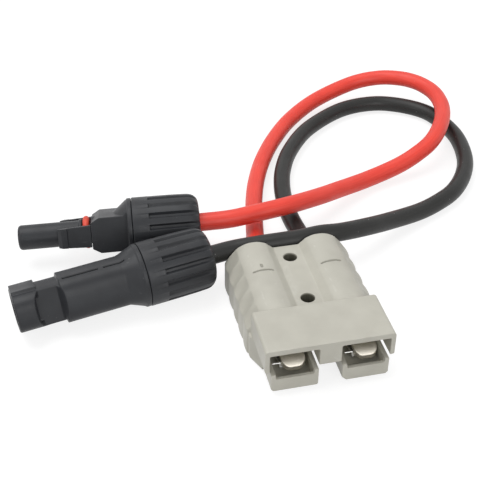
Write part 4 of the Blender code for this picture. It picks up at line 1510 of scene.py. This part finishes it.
@dataclass
class ProbeConnector(SolarConnector):
    """The solar connector with the probe, its sealing ring and its two latch fingers.

    Attributes:
        tip_radii: The radius of the probe's end face, and of its edge a little behind.
        flare_line: The cone between flange and block, as (x, radius) points.
        hook: How far behind a finger's tip its hook's crest begins, ends and has run out.
        socket_line: The socket contact's section, as (x, radius) points.
        slit: Where the socket's slits begin and end.
        skin: How finely its moulded edges are skinned.
        finger_skin: The same for a latch finger.
    """

    tip: float = 36.1
    tip_radii: Flat = (3.2, 3.65)
    radius: float = 3.95
    bore: float = 2.85
    collar: float = 4.4
    body_front: float = 13.0
    block_start: float = 0.9
    pocket_end: float = 11.5
    flare_line: tuple[Flat, ...] = ((6.0, 5.7), (1.9, 9.2), (0.9, 9.3))
    core_radius: float = 5.0
    half_width: float = 6.45
    half_height: float = 5.7
    nose_cut: Flat = (2.6, 1.5)
    ring_groove: Flat = (13.3, 16.0)
    ring_groove_radius: float = 3.55
    ring_outer: float = 5.2
    finger_inner: float = 5.45
    finger_outer: float = 6.45
    finger_hook: float = 6.85
    finger_tip: float = 23.4
    finger_nose: float = 0.5
    hook: tuple[float, float, float] = (1.2, 2.9, 3.1)
    finger_root_half_width: float = 3.6
    finger_seam: float = 0.12
    finger_tip_half_width: float = 3.0
    gap: float = 0.3
    socket_line: tuple[Flat, ...] = (
        (34.8, 2.05), (34.8, 2.3), (34.6, 2.45), (34.3, 2.5), (11.1, 2.5), (11.1, 3.4), (9.6, 3.4),
        (9.6, 2.9), (-1.0, 2.9), (-1.0, 2.1), (9.0, 2.1), (9.0, 0.6), (14.0, 0.6), (14.0, 2.05))
    slit: Flat = (24.0, 36.0)
    slit_half_width: float = 0.25
    skin: Skin = Skin(0.16, 3, 110000)
    finger_skin: Skin = Skin(0.1, 2, 30000)

    def body(self) -> Item:
        """Probe, ring groove, flat-sided block, flange and spigot.

        Returns:
            The moulding.
        """
        rings = self.round_rings(self.outer_line()) + self.spigot_rings()
        rings += self.round_rings([(self.pocket_end, self.crimp_pocket), (self.pocket_end, self.bore)])
        body = skinned("probe_moulding", rings, True)
        combine(body, [self.square(), self.flare()], Cut.JOIN)
        return soften(body, self.skin)

    def outer_line(self) -> list[Flat]:
        """The round core's outside, from the probe's tip back to the flange.

        Returns:
            Points (x, radius).
        """
        rear, front = self.ring_groove
        face, edge = self.tip_radii
        line = [(self.tip, self.bore), (self.tip, face), (self.tip - 0.25, edge)]
        line.append((self.tip - 0.8, self.radius))
        line += [(front + 1.0, self.radius), (front + 0.9, self.collar), (front, self.collar)]
        line += [(front, self.ring_groove_radius), (rear, self.ring_groove_radius)]
        line += [(self.body_front, self.core_radius), (1.5, self.core_radius)]
        line += [(1.5, self.flange_radius - 0.2), (1.3, self.flange_radius)]
        return line + [(self.flange_rear, self.flange_radius)]

    @property
    def hollow(self) -> float:
        """The radius that the block and the flare leave free for the core."""
        return self.core_radius - 0.5

    def square(self) -> Item:
        """The flat-sided block with its sloped front.

        Returns:
            The block.
        """
        wide, tall, start = self.half_width, self.half_height, self.block_start
        slope = [(self.body_front - self.nose_cut[0], tall), (self.body_front, tall - self.nose_cut[1])]
        side = [(start, tall)] + slope + [(x, -z) for x, z in reversed(slope)] + [(start, -tall)]
        square = prism("square", [(x, -wide, z) for x, z in side], (0, 2 * wide, 0))
        return combine(square, [rod("bore", -1.0, 15.0, self.hollow, self.sides)], Cut.REMOVE)

    def flare(self) -> Item:
        """The cone between the flange and the block, no wider than the block.

        Returns:
            The cone.
        """
        line, wide = self.flare_line, self.half_width
        cone = turned("flare", [(line[0][0], self.hollow), *line, (line[-1][0], self.hollow)], self.sides)
        return combine(cone, [block("flats", (0.0, -wide, -12.0), (8.0, wide, 12.0))], Cut.COMMON)

    def inside(self) -> None:
        """The sealing ring, the socket contact and the latch fingers."""
        self.keep(self.sealing_ring(), RED_RUBBER, "lead", "probe_seal_ring")
        self.keep(self.socket(), TIN_PLATE, "lead", "socket_contact")
        for word, side in (("near", 1), ("far", -1)):
            self.keep(self.finger(word, side), BLACK_PLASTIC, word + "_finger", "latch_finger_" + word)

    def sealing_ring(self) -> Item:
        """The red ring that bulges from its groove.

        Returns:
            The ring.
        """
        rear, front = self.ring_groove[0] + self.gap, self.ring_groove[1] - self.gap
        inner, middle, half = self.ring_groove_radius + self.gap, (rear + front) / 2, (front - rear) / 2
        bulge = arc((middle, self.ring_outer - half), half, 180.0, 0.0, 18)
        return turned("red_sealing_ring", [(rear, inner)] + bulge + [(front, inner)], self.sides)

    def socket(self) -> Item:
        """The tubular socket contact, slit at its front, with its crimp barrel.

        Returns:
            The contact.
        """
        body = turned("slit_socket", self.socket_line, 64)
        (start, end), thin, wide = self.slit, self.slit_half_width, 4.0
        slits = [block("slit", (start, -y, -z), (end, y, z)) for y, z in ((wide, thin), (thin, wide))]
        return combine(body, slits, Cut.REMOVE)

    def finger(self, word: str, side: int) -> Item:
        """A latch finger, narrower at its hooked front end.

        Args:
            word: Which finger it is.
            side: Its side of the probe, as a sign.

        Returns:
            The finger.
        """
        root, tip, outer = self.body_front + self.finger_seam, self.finger_tip, self.finger_outer
        front, rear, end = (tip - behind for behind in self.hook)
        points = [(root, self.finger_inner), (tip, self.finger_inner), (tip, outer - self.finger_nose)]
        points += [(front, self.finger_hook), (rear, self.finger_hook), (end, outer), (root, outer)]
        half = self.finger_root_half_width
        body = prism(word + "_latch", [(x, side * y, -half) for x, y in points], (0, 0, 2 * half))
        plan = [(root - 1.0, half), (tip + 1.0, self.finger_tip_half_width)]
        plan += [(x, -z) for x, z in reversed(plan)]
        combine(body, [prism("plan", [(x, -9.0, z) for x, z in plan], (0, 18.0, 0))], Cut.COMMON)
        return soften(body, self.finger_skin)


@dataclass
class ShellConnector(SolarConnector):
    """The solar connector with the hollow shell, its windows and its pin.

    Attributes:
        block_ramp: How far behind the front block its width goes back to the shell's.
        waist: Where the section changes in height, at the windows' rear ends.
        pin_line: The rear of the pin contact's section, as (x, radius) points.
        skin: How finely its moulded edges are skinned.
    """

    mouth: float = 38.75
    half_size: Flat = (7.6, 7.1)
    block_half_size: Flat = (8.0, 5.95)
    block_rear: float = 31.5
    block_ramp: float = 2.2
    waist: Flat = (24.8, 25.0)
    round_from: float = 6.2
    squareness: float = 3.0
    mouth_bore: float = 4.9
    mouth_depth: float = 1.7
    bore: float = 4.15
    bore_end: float = 17.7
    pocket_end: float = 12.6
    channel_outer: float = 6.65
    channel_half_height: float = 3.65
    window_floor: float = 4.7
    window_ramps: tuple = ((23.4, 25.8), (31.4, 33.6))
    strip_half_width: float = 3.5
    strip_slot_floor: float = 5.4
    strip_slots: tuple = ((4.9, 11.5), (13.0, 23.7))
    strip_slot_width: float = 0.8
    plate_top: float = 6.6
    plate_bottom: float = 5.2
    plate_half_width: float = 3.9
    pin_radius: float = 2.0
    pin_tip: float = 33.0
    pin_nose: float = 0.9
    pin_line: tuple[Flat, ...] = ((12.3, 3.4), (10.8, 3.4), (10.8, 2.9), (-1.0, 2.9), (-1.0, 2.1), (9.0, 2.1),
                                  (9.0, 0.0))
    skin: Skin = Skin(0.16, 3, 130000)

    def square_reach(self, half_size: Flat, angle: float) -> float:
        """How far out a square with large round corners reaches.

        Args:
            half_size: Half its width and half its height.
            angle: The place round it, in radians.

        Returns:
            The distance from its middle.
        """
        power = self.squareness
        across, up = abs(math.cos(angle)) / half_size[0], abs(math.sin(angle)) / half_size[1]
        return (across ** power + up ** power) ** (-1 / power)

    def squarish(self, x: float, half_size: Flat) -> list[Point]:
        """A ring whose section is a square with large round corners."""
        return ring(x, self.sides, partial(self.square_reach, half_size))

    def body(self) -> Item:
        """Squarish shell, windows, slotted strips, flange and spigot.

        Returns:
            The moulding.
        """
        (wide, tall), flange, mouth = self.block_half_size, self.flange_radius, self.mouth
        rings = self.round_rings([(mouth, self.mouth_bore)])
        rings.append(self.squarish(mouth, (wide - 0.3, tall - 0.3)))
        rings += [self.squarish(x, (wide, tall)) for x in (mouth - 0.3, self.block_rear)]
        narrow = (self.block_rear - self.block_ramp, self.waist[1])
        rings += [self.squarish(x, (self.half_size[0], tall)) for x in narrow]
        rings += [self.squarish(x, self.half_size) for x in (self.waist[0], self.round_from)]
        rings += self.round_rings([(1.5, flange - 0.3), (1.2, flange), (self.flange_rear, flange)])
        hole, step = self.pin_radius + 0.4, mouth - self.mouth_depth
        inner = [(self.pocket_end, self.crimp_pocket), (self.pocket_end, hole), (self.bore_end, hole)]
        inner += [(self.bore_end, self.bore), (step, self.bore), (step, self.mouth_bore)]
        body = skinned("shell_moulding", rings + self.spigot_rings() + self.round_rings(inner), True)
        plate = block("plate", (self.block_rear, -self.plate_half_width, self.plate_bottom),
                      (mouth - 0.15, self.plate_half_width, self.plate_top))
        combine(body, [plate], Cut.JOIN)
        combine(body, self.cutters(), Cut.REMOVE)
        return soften(body, self.skin)

    def cutters(self) -> list[Item]:
        """Finger channels, windows and the slots beside the strips.

        Returns:
            The cutting bodies.
        """
        cuts = []
        (rear_top, rear), (front, front_top) = self.window_ramps
        height, crest = self.channel_half_height, self.mouth_bore + 4.0
        for side in (1, -1):
            low, high = sorted((side * self.window_floor, side * self.channel_outer))
            cuts.append(block("channel", (front - 1.0, low, -height), (self.mouth + 1.0, high, height)))
            notch = [(rear, self.window_floor), (front, self.window_floor)]
            notch += [(front_top, crest), (rear_top, crest)]
            cuts.append(prism("window", [(x, side * y, -9.0) for x, y in notch], (0, 0, 18.0)))
            edges = (side * self.strip_half_width, side * (self.strip_half_width + self.strip_slot_width))
            for start, end in self.strip_slots:
                for face in (1, -1):
                    floor, roof = sorted((face * self.strip_slot_floor, face * 10.0))
                    cuts.append(block("slot", (start, min(edges), floor), (end, max(edges), roof)))
        return cuts

    def inside(self) -> None:
        """The pin contact with its shoulder and crimp barrel."""
        tip, radius, nose = self.pin_tip, self.pin_radius, self.pin_nose
        profile = [(tip, 0.0)] + arc((tip - nose, radius - nose), nose, 0.0, 90.0, 8)
        profile += [(self.pin_line[0][0], radius), *self.pin_line]
        self.keep(turned("bright_pin", profile, 64), TIN_PLATE, "lead", "pin_contact")


# Cables


@dataclass
class CableRun:
    """A free cable from inside its solar connector to inside the housing's barrel.

    Attributes:
        name: The piece's name.
        node: The solid it stands for.
        place: Where its solar connector lies.
        pole: The pole it ends at.
        route: The points that it passes through on the way, in millimetres; the last is the barrel's mouth.
        finish: Its jacket.
        step: The spacing of its path's points.
    """

    LAY: ClassVar[str] = "lay"

    name: str
    node: str
    place: Placement
    pole: Pole
    route: Sequence[Point]
    finish: CableJacket
    radius: float = 2.95
    jacket_start_x: float = -1.9
    jacket_middle_x: float = -12.0
    jacket_start_y: float = 17.7
    barrel_z: float = 7.85
    step: float = 1.6
    sides: int = 32

    def build(self, carried: Sequence[Item]) -> Item:
        """Args:
            carried: The pieces of the solar connector on its end; not used.

        Returns:
            The cable.
        """
        path = [point * MM for point in self.path()]
        mesh = bpy.data.meshes.new(self.name + "_line")
        mesh.from_pydata(path, [(i, i + 1) for i in range(len(path) - 1)], [])
        item = new_object(self.name, mesh)
        values = {"Radius": self.radius * MM, "Sides": self.sides, "Material": self.finish.material()}
        run_tree(item, cable_tree(), values)
        dress(item, Matrix.Identity(4), self.finish, "lead", self.node)
        return item

    def path(self) -> list[Vector]:
        """Even points along a smooth curve through the route.

        Returns:
            The points.
        """
        inside = (self.jacket_start_x, self.jacket_middle_x, -self.place.nut_length)
        points = [self.place.point(x) for x in inside]
        points += [Vector(point) for point in self.route]
        points.append(Vector((self.pole.value, self.jacket_start_y, self.barrel_z)))
        return even_points(smooth_curve(points), self.step)


def smooth_curve(points: Sequence[Vector], steps: int = 24) -> list[Vector]:
    """Fine points on a smooth curve through the given ones.

    Args:
        points: The points that the curve passes through.
        steps: How many steps each stretch is divided into.

    Returns:
        The fine points.
    """
    ends = [2 * points[0] - points[1], *points, 2 * points[-1] - points[-2]]
    fine = []
    for a, b, c, d in zip(ends, ends[1:], ends[2:], ends[3:]):
        slope_in, slope_out = (c - a) / 2, (d - b) / 2
        for i in range(steps):
            t = i / steps
            fine.append(b * (2 * t ** 3 - 3 * t ** 2 + 1) + slope_in * (t ** 3 - 2 * t ** 2 + t)
                        + c * (3 * t ** 2 - 2 * t ** 3) + slope_out * (t ** 3 - t ** 2))
    return fine + [points[-1]]


def even_points(fine: Sequence[Vector], step: float) -> list[Vector]:
    """Points at even distances along a line.

    Args:
        fine: The line's points.
        step: The distance asked for, which is rounded to fit the line.

    Returns:
        The even points.
    """
    run = [0.0]
    for one, two in zip(fine, fine[1:]):
        run.append(run[-1] + (two - one).length)
    count, path, k = round(run[-1] / step), [], 0
    for i in range(count + 1):
        target = run[-1] * i / count
        while k < len(run) - 2 and run[k + 1] < target:
            k += 1
        path.append(fine[k].lerp(fine[k + 1], (target - run[k]) / (run[k + 1] - run[k])))
    return path


@cache
def cable_tree() -> Tree:
    """The tree that sweeps a round jacket along a line and notes where each point lies on it.

    Returns:
        The tree.
    """
    kinds = {"Radius": 'NodeSocketFloat', "Sides": 'NodeSocketInt', "Material": 'NodeSocketMaterial'}
    wiring, source, result = start_tree("cable_jacket", kinds)
    line = wiring.add('GeometryNodeMeshToCurve', {"Mesh": source.outputs["Geometry"]}).outputs[0]
    circle = wiring.add('GeometryNodeCurvePrimitiveCircle', {
        "Radius": source.outputs["Radius"], "Resolution": source.outputs["Sides"]}).outputs[0]
    noted = []
    for shape, reading in ((line, "Length"), (circle, "Factor")):
        capture = wiring.add('GeometryNodeCaptureAttribute', {"Geometry": shape})
        capture.capture_items.new('FLOAT', reading)
        where = wiring.add('GeometryNodeSplineParameter').outputs[reading]
        wiring.link(where, capture, reading)
        noted.append(capture.outputs)
    tube = wiring.add('GeometryNodeCurveToMesh', {
        "Curve": noted[0]["Geometry"], "Profile Curve": noted[1]["Geometry"], "Fill Caps": True}).outputs[0]
    angle = wiring.calc('MULTIPLY', noted[1]["Factor"], 2 * math.pi)
    lay = wiring.add('ShaderNodeCombineXYZ', {
        0: noted[0]["Length"], 1: wiring.calc('COSINE', angle), 2: wiring.calc('SINE', angle)}).outputs[0]
    stored = wiring.add('GeometryNodeStoreNamedAttribute', {"Geometry": tube, "Name": CableRun.LAY},
                        data_type='FLOAT_VECTOR', domain='POINT')
    wiring.link(lay, stored, "Value")
    end_tree(wiring, stored.outputs[0], source.outputs["Material"], result)
    return wiring.tree


PROBE_PLACE = Placement((-23.05, 45.8, 10.2), (-79.65, 51.0, 9.3), 22.0)
SHELL_PLACE = Placement((-23.7, 26.5, 11.1), (-83.05, 16.9, 8.2), 22.0)
RED_ROUTE = (
    (-13.1, 45.1, 10.50), (-4.8, 46.2, 10.60), (7.2, 48.3, 10.60), (19.4, 54.5, 8.20), (28.8, 60.6, 5.80),
    (42.5, 67.9, 3.80), (55.6, 72.2, 5.20), (64.8, 75.9, 7.60), (71.2, 80.6, 9.00), (77.7, 89.3, 9.60),
    (82.1, 98.2, 9.80), (84.1, 106.1, 10.00), (84.0, 113.8, 10.30), (81.1, 121.8, 10.30), (75.9, 128.1, 9.80),
    (67.6, 132.5, 8.80), (56.1, 132.8, 7.20), (39.3, 126.3, 4.90), (26.0, 115.7, 3.40), (16.2, 102.8, 3.00),
    (8.8, 89.7, 3.00), (3.4, 77.0, 3.00), (-0.5, 64.4, 3.00), (-3.5, 51.0, 3.10), (-5.9, 40.0, 3.60),
    (-8.9, 32.0, 4.10), (-9.9, 24.8, 6.05),
)
BLACK_ROUTE = (
    (-16.0, 28.2, 11.00), (-7.0, 28.2, 11.50), (5.3, 28.2, 11.75), (12.5, 29.1, 11.70), (19.5, 29.9, 10.90),
    (29.5, 33.7, 8.70), (39.7, 39.0, 5.80), (53.0, 45.3, 3.30), (62.5, 50.2, 3.00), (70.0, 55.6, 3.00),
    (77.1, 64.4, 3.00), (82.1, 74.7, 3.00), (85.0, 88.5, 3.00), (84.2, 100.6, 3.00), (80.8, 110.9, 3.00),
    (72.2, 118.6, 3.00), (61.5, 122.1, 3.00), (47.5, 119.4, 3.00), (31.3, 108.0, 3.00), (20.6, 94.3, 3.00),
    (14.3, 81.4, 3.00), (10.8, 68.7, 3.00), (9.2, 55.0, 3.10), (9.4, 42.0, 3.70), (10.1, 32.0, 4.50),
    (10.35, 24.8, 6.30),
)


# Studio


@dataclass
class Studio:
    """The floor, the lights and the camera.

    Attributes:
        eye: Where the camera stands, in millimetres.
        gaze: The direction it looks in.
        lens: Its focal length on a 36 mm sensor.
        ambient: How much light comes from all round.
        lamps: Each soft lamp's place, size and power, in metres and watts.
        floor_glow: The share of the floor's white that no shadow takes away.
        paper_grey: How pale the floor is for the light that it throws back.
        shadow_grey: How much of the floor's white a shadow can take away.
    """

    eye: Point = (-64.1, -198.8, 187.1)
    gaze: Point = (0.1746, 0.7835, -0.5964)
    lens: float = 70.785
    ambient: float = 0.40
    target: Point = (0.0, 0.05, 0.0)
    lamps: tuple = (
        ((-0.28, 0.28, 0.95), 0.9, 5.7),
        ((-0.95, -0.25, 0.55), 0.7, 1.1),
        ((0.15, -1.00, 0.55), 0.7, 3.6),
    )
    floor_half_size: float = 3.0
    floor_drop: float = 0.0002
    floor_glow: float = 0.80
    paper_grey: float = 0.6
    shadow_grey: float = 0.32

    def build(self) -> None:
        """Set up the whole studio."""
        bpy.context.scene.view_settings.view_transform = 'Standard'
        self.build_camera()
        self.build_lamps()
        self.build_world()
        self.build_floor()

    @staticmethod
    def stand(name: str, data: bpy.types.ID, place: Vector, gaze: Vector) -> Item:
        """Put a camera or a lamp into the scene.

        Args:
            name: The object's name.
            data: The camera or the lamp.
            place: Where it stands, in metres.
            gaze: The direction it points in.

        Returns:
            The object.
        """
        item = new_object(name, data)
        item.location = place
        item.rotation_mode = 'QUATERNION'
        item.rotation_quaternion = gaze.to_track_quat('-Z', 'Y')
        return item

    def build_camera(self) -> None:
        """Stand the camera where the view is taken from."""
        camera = bpy.data.cameras.new("studio_camera")
        camera.lens = self.lens
        camera.sensor_width = 36.0
        camera.clip_start = 0.01
        item = self.stand("studio_camera", camera, Vector(self.eye) * MM, Vector(self.gaze))
        bpy.context.scene.camera = item

    def build_lamps(self) -> None:
        """Hang the soft lamps."""
        for number, (place, size, power) in enumerate(self.lamps):
            light = bpy.data.lights.new(f"soft_lamp_{number}", 'AREA')
            light.shape = 'DISK'
            light.size = size
            light.energy = power
            self.stand(light.name, light, Vector(place), Vector(self.target) - Vector(place))

    def build_world(self) -> None:
        """Fill the room with even light, and show white behind the object."""
        world = bpy.data.worlds.new("studio_world")
        world.use_nodes = True
        bpy.context.scene.world = world
        wiring = Wiring(world.node_tree)
        seen = self.seen_directly(wiring)
        strength = wiring.remap(seen, (0.0, 1.0), (self.ambient, 1.0))
        background = world.node_tree.nodes["Background"]
        background.inputs["Color"].default_value = (1.0, 1.0, 1.0, 1.0)
        wiring.link(strength, background, "Strength")

    def build_floor(self) -> None:
        """Lay the pale floor, which keeps a soft shadow."""
        half = self.floor_half_size
        floor = block("floor", (-half, -half, -0.02), (half, half, -self.floor_drop))
        material = bpy.data.materials.new("studio_floor")
        material.use_nodes = True
        wiring = Wiring(material.node_tree)
        material.node_tree.nodes.remove(material.node_tree.nodes["Principled BSDF"])
        paper, catching = (
            wiring.add('ShaderNodeBsdfDiffuse', {"Color": (grey, grey, grey, 1.0)}).outputs[0]
            for grey in (self.paper_grey, self.shadow_grey))
        glow = wiring.add('ShaderNodeEmission', {"Strength": self.floor_glow}).outputs[0]
        white = wiring.add('ShaderNodeAddShader', {0: catching, 1: glow}).outputs[0]
        seen = self.seen_directly(wiring)
        mixed = wiring.add('ShaderNodeMixShader', {0: seen, 1: paper, 2: white}).outputs[0]
        wiring.link(mixed, material.node_tree.nodes["Material Output"], "Surface")
        floor.data.materials.append(material)

    @staticmethod
    def seen_directly(wiring: Wiring) -> Socket:
        """Whether the eye, a reflection or a clear body looks at the surface.

        Args:
            wiring: The wiring of the floor or the world.

        Returns:
            One if so, else nought.
        """
        path = wiring.add('ShaderNodeLightPath').outputs
        first = wiring.calc('MAXIMUM', path["Is Camera Ray"], path["Is Glossy Ray"])
        return wiring.calc('MAXIMUM', first, path["Is Transmission Ray"])


def main() -> None:
    """Build the lead piece by piece, then the studio round it."""
    logging.basicConfig(level=logging.INFO, format="%(message)s")
    Studio().build()
    probe = ProbeConnector(PROBE_PLACE, "probe").build()
    shell = ShellConnector(SHELL_PLACE, "shell").build()
    CableRun("red_lead", "red_cable", PROBE_PLACE, Pole.POSITIVE, RED_ROUTE, RED_JACKET).build(probe)
    CableRun("black_lead", "black_cable", SHELL_PLACE, Pole.NEGATIVE, BLACK_ROUTE, BLACK_JACKET).build(shell)
    BatteryHousing().build()
    for pole in Pole:
        BatteryContact(pole).build()


if __name__ == "__main__":
    main()
